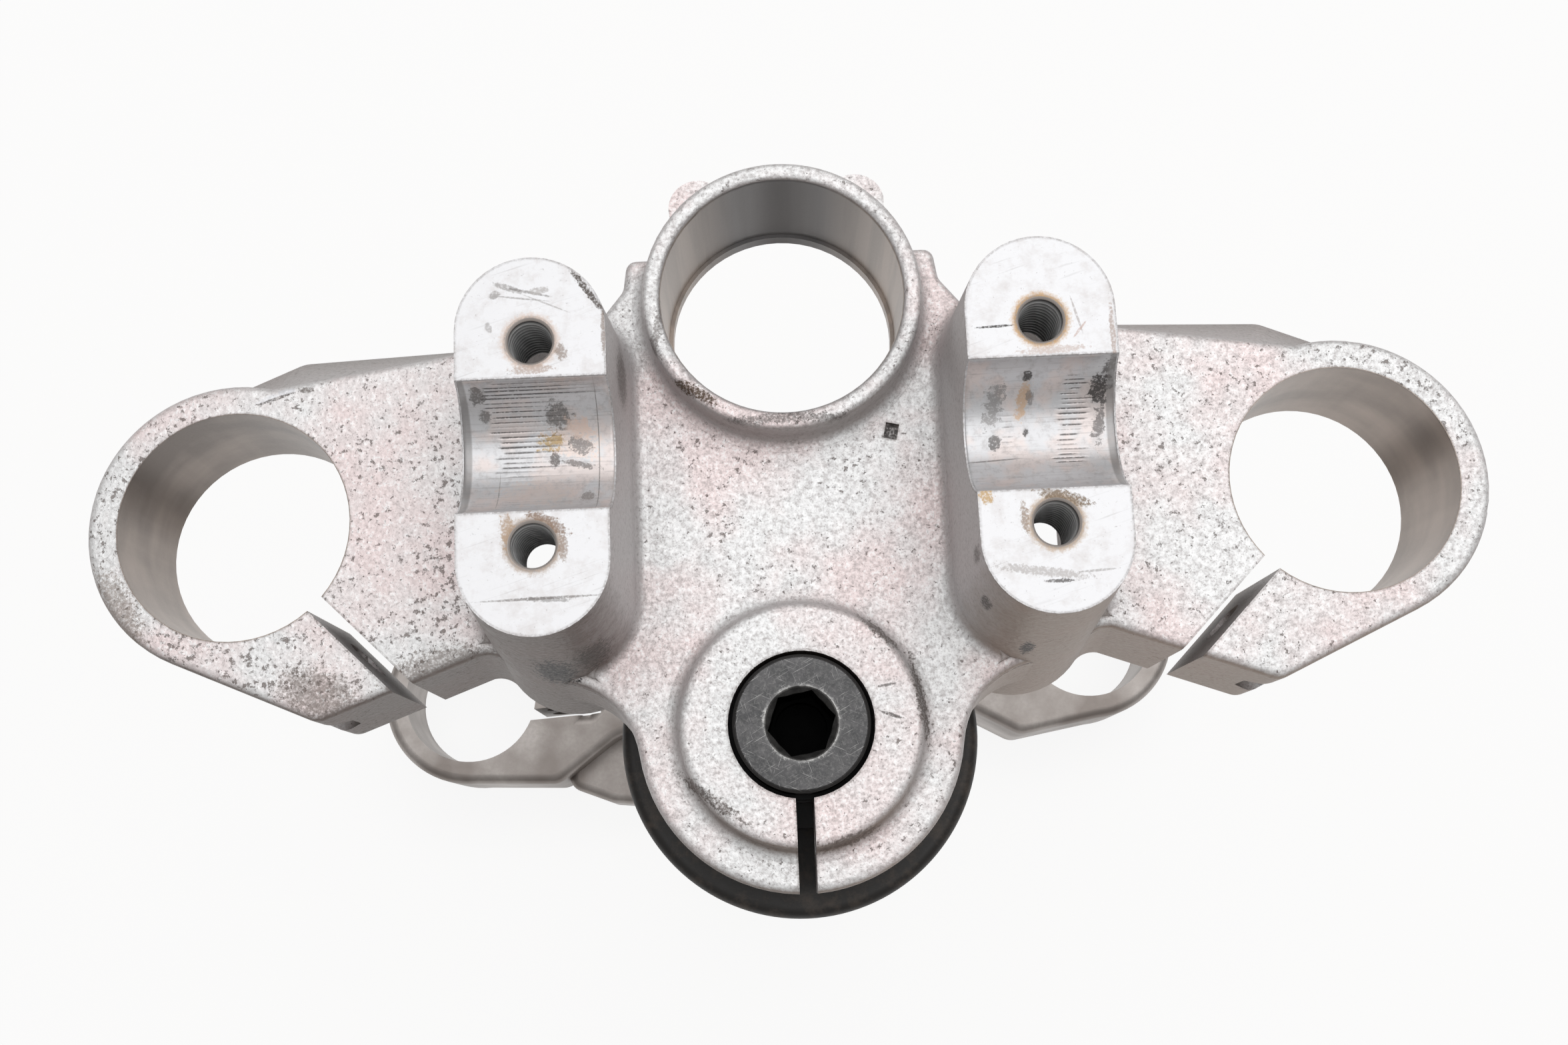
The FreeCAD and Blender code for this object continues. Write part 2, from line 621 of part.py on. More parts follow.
def lower_outline_right():
    """Web of the right half of the lower clamp, behind its pinch slit."""
    return [
        (0, LOWER_FRONT_Y, 0), (LOWER_STEP_TOP[0] - LOWER_SHOULDER_RUN, LOWER_FRONT_Y, LOWER_SHOULDER_R),
        (LOWER_STEP_TOP[0], LOWER_STEP_TOP[1], LOWER_STEP_TOP_R), (LOWER_STEP[0], LOWER_STEP[1], LOWER_STEP_R),
        (FORK_X - LOWER_RING_OVERLAP, LOWER_STEP[1], 0), (FORK_X, FORK_Y, 0),
        (FORK_X, FORK_Y - LOWER_RING_R, 0), (LOWER_REAR_KNEE[0], LOWER_REAR_KNEE[1], LOWER_KNEE_R),
        (LOWER_REAR_WAIST[0], LOWER_REAR_WAIST[1], LOWER_WAIST_R),
        (LOWER_HUB_R - LOWER_HUB_OVERLAP, LOWER_HUB_ROOT_Y, 0), (0, 0, 0)]


def lower_finger():
    """Clamping finger of the right fork ring, before the slit parts it from the web."""
    run, rise = LOWER_FINGER_RUN
    return [
        (LOWER_FINGER_IN_X, LOWER_SLIT_Y - FORK_SLIT, 0), (FORK_X, LOWER_SLIT_Y - FORK_SLIT, 0),
        (FORK_X, FORK_Y + LOWER_RING_R - LOWER_FINGER_R[0], 0),
        (LOWER_FINGER_IN_X + run, LOWER_FINGER_FRONT_Y + rise, LOWER_FINGER_R[0]),
        (LOWER_FINGER_IN_X, LOWER_FINGER_FRONT_Y, LOWER_FINGER_R[1])]


def lower_pinch_cuts():
    """Cross bolt holes of the right fork ring, entered from the front."""
    cuts = []
    for z in LOWER_PINCH_Z:
        mouth = V(LOWER_PINCH_X, LOWER_SLIT_Y, z)
        cuts.append(along(mouth, V(0, 1, 0), CUT_REACH, PINCH_CLEAR_R))
        cuts.append(along(mouth, V(0, -1, 0), LOWER_PINCH_THREAD_LENGTH, PINCH_THREAD_R))
        seat = V(LOWER_PINCH_X, LOWER_FINGER_FRONT_Y - LOWER_PINCH_SEAT, z)
        cuts.append(along(seat, V(0, 1, 0), CUT_REACH, LOWER_PINCH_HEAD_R))
    return cuts


def lower_clamp():
    """The cast lower clamp in one piece, turned on the stem as the photograph shows."""
    web = rounded_prism(lower_outline_right(), 0, LOWER_DEPTH)
    ring = on_stem(LOWER_RING_R, 0, LOWER_DEPTH, FORK_X, FORK_Y)
    finger = rounded_prism(lower_finger(), 0, LOWER_DEPTH)
    hub = on_stem(LOWER_HUB_R, 0, LOWER_DEPTH)
    slit = Part.makeBox(FORK_X - LOWER_FINGER_IN_X + LOWER_SLIT_LEAD, FORK_SLIT, LOWER_DEPTH,
                        V(LOWER_FINGER_IN_X - LOWER_SLIT_LEAD, LOWER_SLIT_Y, 0))
    body = fused([hub] + both_sides(web) + both_sides(ring) + both_sides(finger))
    body = body.makeFillet(LOWER_EDGE_R, flat_edges(body, LOWER_DEPTH))
    lug = rounded_prism([(x, y, LOWER_LUG_CORNER_R) for x, y in LOWER_LUG], 0, LOWER_LUG_TOP)
    lug = lug.makeFillet(LOWER_EDGE_R, flat_edges(lug, LOWER_LUG_TOP))
    seat = on_stem(seal_radius(), LOWER_DEPTH - LOWER_EDGE_R, LOWER_DEPTH + LOWER_HUB_RISE)
    body = fused([body, lug, seat])
    cuts = both_sides(slit) + [on_stem(STEM_FOOT_R + SEAT_CLEARANCE, 0, LOWER_DEPTH + LOWER_HUB_RISE)]
    cuts += both_sides(on_stem(FORK_BORE_R, 0, LOWER_DEPTH, FORK_X, FORK_Y))
    for cut in lower_pinch_cuts():
        cuts += both_sides(cut)
    body = body.cut(cuts).removeSplitter()
    body.rotate(V(0, 0, 0), V(0, 0, 1), LOWER_TURN_DEG)
    return body


def steering_stem():
    """Hollow steering stem, pressed into the lower clamp."""
    foot_top = LOWER_DEPTH + LOWER_HUB_RISE + SEAL_BASE + LOWER_BEARING_HEIGHT + STEM_FOOT_LAND
    race_foot = race_top() - UPPER_BEARING_HEIGHT - STEM_TOP_LAND
    top = DECK_Z - STEM_BELOW_DECK
    thread_foot = top - CAP_THREAD_LENGTH - CAP_THREAD_RELIEF
    return revolved([
        (STEM_BORE_R, 0), (STEM_FOOT_R, 0), (STEM_FOOT_R, foot_top),
        (STEM_MID_R, foot_top + STEM_MID_TAPER / 4), (STEM_MID_R, race_foot - STEM_MID_TAPER),
        (STEM_TOP_R, race_foot), (STEM_TOP_R, top),
        (CAP_THREAD_R + SEAT_CLEARANCE, top), (CAP_THREAD_R + SEAT_CLEARANCE, thread_foot),
        (STEM_BORE_R, thread_foot)])


def cap_bolt():
    """Flush-sided cap bolt with a hexagon socket, screwed into the stem."""
    seat = DECK_Z - STEM_BELOW_DECK
    top = DECK_Z + CAP_HEAD_TOP
    body = revolved([
        (0, seat - CAP_THREAD_LENGTH), (CAP_THREAD_R - CAP_THREAD_LEAD, seat - CAP_THREAD_LENGTH),
        (CAP_THREAD_R, seat - CAP_THREAD_LENGTH + CAP_THREAD_LEAD), (CAP_THREAD_R, seat), (CAP_HEAD_R, seat),
        (CAP_HEAD_R, top - CAP_EDGE), (CAP_HEAD_R - CAP_EDGE, top), (0, top)])
    corner = CAP_HEX_FLATS / math.sqrt(3)
    points = []
    for step in range(7):
        angle = math.radians(CAP_TURN_DEG + 60 * step)
        points.append(V(corner * math.cos(angle), corner * math.sin(angle), top))
    socket = Part.Face(Part.makePolygon(points)).extrude(V(0, 0, -CAP_HEX_DEPTH))
    throat = corner - CAP_MOUTH_INSET
    mouth = Part.makeCone(throat, CAP_MOUTH_R, CAP_MOUTH_R - throat, V(0, 0, top - CAP_MOUTH_R + throat))
    drill = on_stem(CAP_DRILL_R, top - CAP_DRILL_DEPTH, top)
    return body.cut([socket, mouth, drill]).removeSplitter()


def nut_top():
    """Height of the upper clamp's underside, on which the adjuster nut bears."""
    return DECK_Z - WEB_DEPTH


def race_top():
    """Height of the underside of the dust cap's sheet, on which the upper race bears."""
    return nut_top() - NUT_HEIGHT - CAP_SHEET


def adjuster_nut():
    """Slotted ring nut that sets the head bearings."""
    z0, z1 = nut_top() - NUT_HEIGHT, nut_top()
    inner = STEM_TOP_R + SEAT_CLEARANCE
    body = revolved([(inner, z0), (NUT_R, z0), (NUT_R, z1 - NUT_EDGE), (NUT_R - NUT_EDGE, z1), (inner, z1)])
    cuts = []
    for step in range(NUT_SLOTS):
        slot = Part.makeBox(NUT_SLOT_DEPTH + 1, NUT_SLOT_WIDTH, NUT_HEIGHT,
                            V(NUT_R - NUT_SLOT_DEPTH, -NUT_SLOT_WIDTH / 2, z0))
        slot.rotate(V(0, 0, 0), V(0, 0, 1), 360 / NUT_SLOTS * (step + 0.5))
        cuts.append(slot)
    return body.cut(cuts)


def dust_cap():
    """Pressed cap with a turned-down skirt over the upper bearing."""
    top = nut_top() - NUT_HEIGHT
    under = top - CAP_SHEET
    inner = STEM_TOP_R + SEAT_CLEARANCE
    bend, inside, foot = CAP_BEND_R, CAP_R - CAP_SHEET, top - CAP_SKIRT
    sag = bend * HALF_TURN_MIDDLE
    outer = Part.Arc(V(CAP_R - bend, 0, top), V(CAP_R - bend + sag, 0, top - bend + sag),
                     V(CAP_R, 0, top - bend))
    small = bend - CAP_SHEET
    sag = small * HALF_TURN_MIDDLE
    hollow = Part.Arc(V(inside, 0, under - small), V(CAP_R - bend + sag, 0, top - bend + sag),
                      V(CAP_R - bend, 0, under))
    edges = [
        Part.LineSegment(V(inner, 0, under), V(inner, 0, top)),
        Part.LineSegment(V(inner, 0, top), V(CAP_R - bend, 0, top)), outer,
        Part.LineSegment(V(CAP_R, 0, top - bend), V(CAP_R, 0, foot)),
        Part.LineSegment(V(CAP_R, 0, foot), V(inside, 0, foot)),
        Part.LineSegment(V(inside, 0, foot), V(inside, 0, under - small)), hollow,
        Part.LineSegment(V(CAP_R - bend, 0, under), V(inner, 0, under))]
    return Part.Face(Part.Wire([edge.toShape() for edge in edges])).revolve(V(0, 0, 0), V(0, 0, 1), 360)


def place_bearing(shape, seat, upwards):
    """Put a bearing piece drawn big end down on its seat, or hang it big end up."""
    if not upwards:
        shape.rotate(V(0, 0, 0), V(1, 0, 0), 180)
    shape.translate(V(0, 0, seat))
    return shape


def roller_spread(pitch, roller_r):
    """Half angle of the roller's own cone, so that roller and races share one apex."""
    return math.atan(roller_r * math.sin(math.radians(ROLLER_TILT_DEG)) / pitch)


def pitch_radius(stem_r, wall, roller_r):
    """Radius of the rollers' middles, out from the stem by the race's wall."""
    level = (roller_r + RUNNING_CLEARANCE) / math.cos(math.radians(ROLLER_TILT_DEG))
    return stem_r + SEAT_CLEARANCE + wall + level


def bearing_race(bore, height, pitch, roller_r, length):
    """Inner race with a conical raceway between a rib square to the rollers' big ends and a low lip."""
    tilt = math.radians(ROLLER_TILT_DEG)
    spread = roller_spread(pitch, roller_r)
    slope = math.tan(tilt - spread)
    middle = height / 2 + ROLLER_RISE
    track = pitch - (roller_r + RUNNING_CLEARANCE) / math.cos(tilt)
    big_end = (roller_r + length / 2 * math.tan(spread)) * math.sin(tilt)
    below = length / 2 * math.cos(tilt) + big_end + RUNNING_CLEARANCE / math.cos(tilt)
    above = length / 2 * math.cos(tilt) + RACE_LIP
    low_r, high_r = track + below * slope, track - above * slope
    rib = middle - below + RACE_RIB_PROUD * math.tan(tilt)
    return revolved([
        (bore, 0), (low_r + RACE_RIB_PROUD, 0), (low_r + RACE_RIB_PROUD, rib), (low_r, middle - below),
        (high_r, middle + above), (high_r + RACE_LIP, middle + above + RACE_LIP),
        (high_r + RACE_LIP, height), (bore, height)])


def bearing_roller(pitch, roller_r, length, grow):
    """Tapered roller on the +X side, about its own slanted axis, at mid height zero."""
    spread = math.tan(roller_spread(pitch, roller_r))
    big, small = roller_r + length / 2 * spread + grow, roller_r - length / 2 * spread + grow
    roller = Part.makeCone(big, small, length + 2 * grow, V(0, 0, -length / 2 - grow))
    roller.rotate(V(0, 0, 0), V(0, 1, 0), -ROLLER_TILT_DEG)
    roller.translate(V(pitch, 0, 0))
    return roller


def bearing_rollers(height, pitch, roller_r, length, count, grow=0.0):
    """Full ring of rollers."""
    ring = []
    for step in range(count):
        roller = bearing_roller(pitch, roller_r, length, grow)
        roller.translate(V(0, 0, height / 2 + ROLLER_RISE))
        roller.rotate(V(0, 0, 0), V(0, 0, 1), 360 / count * step)
        ring.append(roller)
    return ring


def bearing_cage(height, pitch, roller_r, length, count):
    """Conical pressed cage with one window for each roller."""
    slope = math.tan(math.radians(ROLLER_TILT_DEG))
    half = length / 2 * math.cos(math.radians(ROLLER_TILT_DEG)) + CAGE_RIM + RACE_LIP
    middle = height / 2 + ROLLER_RISE
    centre = pitch + roller_r * CAGE_OUTWARD
    thick = CAGE_SHEET / 2 / math.cos(math.radians(ROLLER_TILT_DEG))
    shell = revolved([
        (centre + half * slope - thick, middle - half), (centre + half * slope + thick, middle - half),
        (centre - half * slope + thick, middle + half), (centre - half * slope - thick, middle + half)])
    return shell.cut(bearing_rollers(height, pitch, roller_r, length, count, RUNNING_CLEARANCE))


def lower_pitch():
    """Radius of the middles of the lower bearing's rollers."""
    return pitch_radius(STEM_FOOT_R, LOWER_RACE_WALL, LOWER_ROLLER_R)


def seal_radius():
    """Outside of the seal, whose lip stands clear of the lower cage."""
    tilt = math.tan(math.radians(ROLLER_TILT_DEG))
    cage = lower_pitch() + LOWER_ROLLER_R * CAGE_OUTWARD + LOWER_ROLLER_LENGTH / 2 * tilt + CAGE_SHEET
    return cage + SEAL_GAP + SEAL_LIP_THICK - SEAL_LIP_TAPER


def dust_seal():
    """Rubber seal under the lower race, with a tapering lip around it."""
    z0 = LOWER_DEPTH + LOWER_HUB_RISE
    outer = seal_radius()
    inner = STEM_FOOT_R + SEAT_CLEARANCE
    lip = z0 + SEAL_LIP_HEIGHT
    return revolved([
        (inner, z0), (outer, z0), (outer, z0 + 2 * SEAL_BASE), (outer - SEAL_LIP_TAPER, lip),
        (outer - SEAL_LIP_THICK + SEAL_LIP_TAPER, lip), (outer - SEAL_LIP_THICK, z0 + SEAL_BASE),
        (inner, z0 + SEAL_BASE)])


def export(name, shape):
    """Write one piece to its own file."""
    shape.exportStep("parts/%s.step" % name)
    print("%-26s solids %d valid %s volume %.0f faces %d" % (
        name, len(shape.Solids), shape.isValid(), shape.Volume, len(shape.Faces)))


def export_bearing(name, seat, upwards, bore, height, pitch, roller_r, length, count):
    """Write the race, the cage and each roller of one bearing."""
    race = bearing_race(bore + SEAT_CLEARANCE, height, pitch, roller_r, length)
    export(name + "_race", place_bearing(race, seat, upwards))
    cage = bearing_cage(height, pitch, roller_r, length, count)
    export(name + "_cage", place_bearing(cage, seat, upwards))
    for index, roller in enumerate(bearing_rollers(height, pitch, roller_r, length, count)):
        export("%s_roller_%02d" % (name, index + 1), place_bearing(roller, seat, upwards))


def main():
    """Build and write every piece."""
    os.makedirs("parts", exist_ok=True)
    export("upper_clamp", upper_clamp())
    export("lower_clamp", lower_clamp())
    export("steering_stem", steering_stem())
    export("stem_cap_bolt", cap_bolt())
    export("bearing_adjuster_nut", adjuster_nut())
    export("upper_dust_cap", dust_cap())
    export("lower_dust_seal", dust_seal())
    upper_pitch = pitch_radius(STEM_TOP_R, UPPER_RACE_WALL, UPPER_ROLLER_R)
    export_bearing("upper_bearing", race_top(), False, STEM_TOP_R, UPPER_BEARING_HEIGHT,
                   upper_pitch, UPPER_ROLLER_R, UPPER_ROLLER_LENGTH, UPPER_ROLLERS)
    export_bearing("lower_bearing", LOWER_DEPTH + LOWER_HUB_RISE + SEAL_BASE, True, STEM_FOOT_R,
                   LOWER_BEARING_HEIGHT, lower_pitch(), LOWER_ROLLER_R, LOWER_ROLLER_LENGTH, LOWER_ROLLERS)


if __name__ == "__main__":
    main()
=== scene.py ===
"""Looks of the motorcycle triple clamp: finishes, worn details, stage and camera.

Lengths are metres in the part's own frame, and millimetres where a comment says so. +Z runs up
the steering axis and +Y points to the front. The upper clamp's deck, the flat top face of its
arms, is the height that the details are placed from.
"""
import functools
import math

import bpy
import numpy as np
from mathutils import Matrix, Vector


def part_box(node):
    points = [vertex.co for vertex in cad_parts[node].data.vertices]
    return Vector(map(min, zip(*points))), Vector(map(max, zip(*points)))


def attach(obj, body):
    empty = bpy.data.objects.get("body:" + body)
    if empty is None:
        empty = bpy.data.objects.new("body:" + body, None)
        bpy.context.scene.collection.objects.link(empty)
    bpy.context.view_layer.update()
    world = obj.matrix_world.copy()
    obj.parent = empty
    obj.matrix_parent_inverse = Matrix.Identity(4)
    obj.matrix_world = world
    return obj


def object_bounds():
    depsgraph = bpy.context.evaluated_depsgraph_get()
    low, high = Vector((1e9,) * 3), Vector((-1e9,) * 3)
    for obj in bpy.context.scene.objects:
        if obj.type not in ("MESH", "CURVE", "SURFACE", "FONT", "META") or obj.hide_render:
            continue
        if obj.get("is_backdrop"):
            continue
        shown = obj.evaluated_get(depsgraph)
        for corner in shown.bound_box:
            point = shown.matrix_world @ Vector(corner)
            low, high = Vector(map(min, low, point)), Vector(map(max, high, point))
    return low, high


bl_info = {
    "name": "Motorcycle triple clamp",
    "version": (1, 0, 0),
    "blender": (4, 5, 0),
    "location": "3D View > Sidebar > Triple clamp",
    "description": "Finishes, worn details and stage of a used triple clamp",
    "category": "Object",
}

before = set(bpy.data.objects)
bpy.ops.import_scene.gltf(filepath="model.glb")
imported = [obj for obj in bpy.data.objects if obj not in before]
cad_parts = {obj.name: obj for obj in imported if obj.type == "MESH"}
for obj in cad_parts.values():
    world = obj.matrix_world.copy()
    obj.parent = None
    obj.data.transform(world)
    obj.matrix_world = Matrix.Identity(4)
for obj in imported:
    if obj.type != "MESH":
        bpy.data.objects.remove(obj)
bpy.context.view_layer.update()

MM = 0.001
BODY = "clamp_set"
DECK = 0.266

# Places on the upper clamp, in millimetres about the steering axis and the deck
FORK_AXIS = (98.5, 39.5)
FORK_BORE_R = 20.5
RISER_X = 41.2
RISER_TOP = 31.4
RISER_HOLES_Y = (27.5, 60.9)
RISER_HOLE_R = 4.0
RISER_TOP_R = 12.2
RISER_LEAN = 0.0464
BAR_Y = 43.95
BAR_Z = 33.5
BAR_R = 11.1
SOCKET_R = 6.0
BOLT_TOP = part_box("stem_cap_bolt")[1][2]
STEM_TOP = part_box("steering_stem")[1][2]
IGNITION_Y = 75.85
IGNITION_BORE_R = 21.6

# Threads of the pad holes, in millimetres: how far the metal of a sleeve stands off the bore and
# reaches behind it, where the turns start and how soon they are full, and the burr at the mouth
# by its drops and reach
SLEEVE_GAP = 0.02
SLEEVE_BACK = 0.2
SLEEVE_DROP = 0.03
SLEEVE_SIDES = 56
ROWS_PER_TURN = 10
THREAD_START = 0.3
THREAD_RUN_IN = 1.2
THREAD_RUN_OUT = 1.0
BURR_DROPS = (0.0, 0.4, 1.1)
BURR_REACH = 0.42

# Saddle faces, in millimetres: points across and along the arc, how far a face stands proud of
# the bore, how deep its rim and its back lie in the metal, its clearance from the riser's sides
# and, as an angle, from the pads, and the width and wander of a knurl cut as shares of its spacing
SADDLE_ACROSS = 65
SADDLE_ALONG = 289
SADDLE_PROUD = 0.11
SADDLE_RIM_SUNK = 0.05
SADDLE_BACK = 0.3
SADDLE_SIDE_GAP = 0.12
SADDLE_END_GAP = 0.02
KNURL_SHARPNESS = 0.14
KNURL_WANDER = 0.07

# Stage, in metres
FLOOR_HALF = 4.0
FLOOR_WHITE_SHARE = 0.88
LAMP_PLACE = (0.25, 0.45, 1.6)
CLIP_RANGE = (0.01, 20.0)

# Half width of a mark's soft edge, as a share of its size
SOFT_EDGE = 0.16

# Stain on the burr round each pad hole
HOLE_STAINS = (
    ((-RISER_X, RISER_HOLES_Y[0], 0), "A89585"),
    ((-RISER_X, RISER_HOLES_Y[1], 0), "C9B5A8"),
    ((RISER_X, RISER_HOLES_Y[0], 0), "B39C84"),
    ((RISER_X, RISER_HOLES_Y[1], 0), "B98F55"),
)

# Marks of use. Each has its centre and its half sizes in millimetres, a turn in degrees, its
# colour, how strongly it covers and how ragged its edge is. Heights count from the deck.
CAST_MARKS = (
    # Left front pad: a cluster of scratches, dirt along its inner rim and small nicks
    ((-44.6, 70.1, 31.4), (2.6, 0.5, 0.6), -20, "8F8B89", 0.7, 1.6),
    ((-41.2, 69.2, 31.4), (3.4, 0.22, 0.6), -14, "7C7876", 0.75, 1.4),
    ((-39.6, 69.4, 31.4), (1.6, 0.6, 0.6), 8, "A9A5A3", 0.8, 1.6),
    ((-42.5, 68.2, 31.4), (4.2, 0.16, 0.6), -8, "8B8785", 0.65, 1.2),
    ((-38.5, 67.2, 31.4), (4, 0.14, 0.6), -24, "9B9795", 0.6, 1),
    ((-46.8, 69, 31.4), (1, 0.6, 0.6), 30, "87827F", 0.7, 1.8),
    ((-31.8, 69.1, 31.4), (4.4, 0.5, 1), -55, "4A413B", 0.95, 2.6),
    ((-29.4, 62, 31.4), (0.35, 3.5, 1), 0, "7C6B60", 0.7, 2.4),
    ((-47.8, 63.5, 31.4), (0.5, 0.9, 0.6), 20, "8F8A88", 0.6, 1.6),
    ((-36.2, 59, 31.4), (0.9, 1.4, 0.6), 15, "85756A", 0.75, 2.6),
    ((-41, 56.2, 31.4), (3.4, 0.7, 0.6), 3, "A79387", 0.7, 2.6),
    # Left rear pad
    ((-40, 19, 31.4), (9, 0.22, 0.6), 1, "7F7A77", 0.8, 1.2),
    ((-39, 18.8, 31.4), (3.6, 0.4, 0.6), -3, "6F6A67", 0.6, 2.4),
    ((-38.8, 31, 31.4), (3.4, 1.1, 0.6), -30, "7F6857", 0.85, 2.8),
    ((-44.9, 29.6, 31.4), (1.2, 2.8, 0.6), 8, "A2886F", 0.8, 2.8),
    ((-36.4, 27, 31.4), (0.7, 2.2, 0.6), 0, "8F7D70", 0.8, 2.6),
    # Right front pad
    ((33.7, 60.1, 31.4), (2.8, 0.22, 0.6), 2, "33302D", 0.95, 1.6),
    ((47, 61.5, 31.4), (0.2, 3, 0.6), 14, "9A918D", 0.6, 1.2),
    ((47.3, 59, 31.4), (0.2, 1.6, 0.6), -40, "B08E80", 0.6, 1.2),
    ((52.6, 58.3, 31.4), (0.4, 4.5, 0.8), 0, "9C877C", 0.7, 2.4),
    ((43, 55.8, 31.4), (5, 0.6, 0.6), 2, "B5A197", 0.6, 2.6),
    # Right rear pad
    ((38.5, 19.8, 31.4), (7, 0.7, 0.6), -9, "A19B98", 0.65, 2.8),
    ((41.2, 18.2, 31.4), (2.2, 0.3, 0.6), 0, "4B4644", 0.85, 2.4),
    ((47, 19.6, 31.4), (3, 0.2, 0.6), 3, "8B8683", 0.6, 1.6),
    ((30.4, 32.2, 31.4), (1.1, 1.3, 0.8), 0, "B4925C", 0.85, 2.2),
    ((42.6, 31.5, 31.4), (4.2, 1, 0.6), -16, "75634F", 0.9, 2.8),
    ((36.2, 28.4, 31.4), (0.6, 2.4, 0.6), 4, "8E7A69", 0.8, 2.8),
    # Deck: painted shade in the square pit, the struck place on the left arm, and dark marks on the
    # boss and the ring
    ((18.5, 51.75, -0.8), (1.4, 1.65, 1.2), -13, "3F3B39", 0.95, 0.2),
    ((-92.8, 62.6, 0), (1.9, 0.6, 1.5), 20, "EDEDF0", 0.95, 1.8),
    ((-89.6, 63.8, 0), (1.7, 0.6, 1.5), 10, "E4E4E7", 0.95, 1.8),
    ((-91.4, 62.6, 0), (3.2, 0.3, 1.5), 17, "5A524D", 0.85, 2.4),
    ((-86, 64, 0), (1.3, 0.5, 1.5), 5, "6B625D", 0.8, 2.4),
    ((-83, 9, 0), (7, 4, 2), -20, "7F746E", 0.75, 3.4),
    ((-62, 12.5, 0), (9, 3.4, 2), 12, "7F746E", 0.7, 3.4),
    ((-118, 23, 0), (3.4, 9, 2), 20, "8B7D74", 0.7, 3.4),
    ((-15.5, 58.2, 6.5), (4.6, 1, 2), -33, "4B3826", 0.95, 2.8),
    ((0, 53, 6.5), (11, 0.9, 2), 0, "5F5A57", 0.75, 3),
    ((-22.8, 68, 6.5), (0.8, 7, 2), -12, "6B6360", 0.65, 3),
    ((20.6, 4, 2.5), (1, 8.5, 3), 8, "544A44", 0.85, 3.2),
    ((14.2, 15.2, 2.5), (4.5, 1, 3), -42, "544A44", 0.8, 3.2),
    ((-15.6, -12, 2.5), (1.1, 7.5, 3), 52, "544A44", 0.85, 3.2),
    ((7, -19.6, 2.5), (6, 1, 3), 18, "5F544D", 0.75, 3.2),
    ((15.4, 0.9, 4), (2, 0.3, 2), -20, "4B4441", 0.85, 2.2),
    ((14.8, 6, 4), (1.6, 0.25, 2), 8, "5B5451", 0.75, 2.2),
    # Riser walls
    ((-41.2, 10.8, 6), (3.2, 4, 8), 0, "171412", 0.98, 3.6),
    ((-34.6, 13, 9), (3, 3.4, 6), 0, "3F3833", 0.8, 4.4),
    ((38.6, 11.6, 8), (1.1, 2.6, 4), 0, "2B2725", 0.95, 2.6),
    ((30.8, 17, 19), (0.8, 1.5, 2.8), 0, "4B4643", 0.85, 2.4),
    ((29.2, 24, 26), (0.6, 1.5, 3.4), 0, "5B5653", 0.8, 2.4),
    ((-28.4, 59.5, 13), (1.4, 4.5, 5.5), 0, "5F5753", 0.75, 3),
)
SADDLE_MARKS = (
    ((-35.6, 46.6, 23), (4, 3, 3), -20, "DCCCC4", 0.85, 4),
    ((-31.3, 43.5, 25.5), (0.10, 13, 9), 0, "7E7976", 0.75, 0.8),
    ((-47.5, 36.5, 24.5), (0.10, 5, 4), 0, "8E8986", 0.6, 0.8),
    ((-50.4, 53, 28), (1.3, 1.6, 1.8), 0, "6E6B69", 0.85, 3.4),
    ((-49.6, 50.4, 25), (0.9, 1.3, 1.2), 20, "75716F", 0.8, 3.4),
    ((-37.6, 50.2, 24.6), (2.1, 2.2, 2.6), 25, "7B7978", 0.9, 3.8),
    ((-38.8, 46.3, 22.7), (2.3, 1.1, 1.5), 10, "A98D58", 0.8, 4.6),
    ((-34.6, 45.9, 22.6), (1.9, 1.3, 1.5), -25, "7E7A79", 0.85, 4.6),
    ((-34.3, 48.2, 23.4), (2.2, 1.4, 1.5), -30, "D9C3B7", 0.8, 3.8),
    ((-38.6, 43.4, 22.5), (0.9, 0.9, 1.5), 0, "5F5A58", 0.85, 4.6),
    ((-35, 42.6, 22.5), (3, 0.5, 1.5), -14, "6E6967", 0.8, 4.6),
    ((-41.5, 37, 25), (5, 2.8, 3), 0, "D3C5BE", 0.55, 5),
    ((-33, 36.2, 25.6), (1.1, 1, 2), 0, "8A8583", 0.75, 4.2),
    ((51, 50.8, 25), (1.6, 2.4, 2.5), -12, "4E4B4A", 0.95, 4.2),
    ((52.4, 53.6, 28), (0.9, 2.4, 2.5), -30, "5A5655", 0.85, 4.6),
    ((50.9, 45.6, 22.8), (0.8, 3.4, 1.6), -10, "6A6665", 0.85, 5),
    ((38.6, 49.8, 24.3), (1, 3.6, 3), -14, "C9AD93", 0.9, 3.4),
    ((39, 52.9, 27), (0.9, 0.8, 1.2), 0, "4F4C4B", 0.95, 2.9),
    ((38.8, 44.7, 22.5), (0.5, 0.7, 1.2), 0, "565352", 0.95, 2.9),
    ((39.6, 49.8, 24.3), (0.6, 1.6, 1.5), 0, "807C7B", 0.7, 4.2),
    ((33.6, 49, 24.4), (1.3, 3.6, 3), -12, "8B8887", 0.75, 5),
    ((33.5, 43, 22.5), (1, 1.5, 1.5), -8, "656261", 0.9, 3.8),
    ((33, 39.8, 23.2), (4.5, 0.14, 1), 3, "6B6765", 0.7, 0.6),
)

# Camera of the photograph: place in metres, turn and lens
CAMERA_PLACE = (-0.003956, -0.023405, 0.550745)
CAMERA_TURN_DEG = (11.7771, 0.0118, -2.5473)
CAMERA_LENS_MM = 37.824
SENSOR_MM = 36.0


def linear(code):
    """Linear colour of an sRGB hex value."""
    values = [int(code[i:i + 2], 16) / 255 for i in (0, 2, 4)]
    return tuple(v / 12.92 if v <= 0.04045 else ((v + 0.055) / 1.055) ** 2.4 for v in values)


def tone(code):
    """An sRGB hex value as a node's colour socket takes it."""
    return (*linear(code), 1.0)


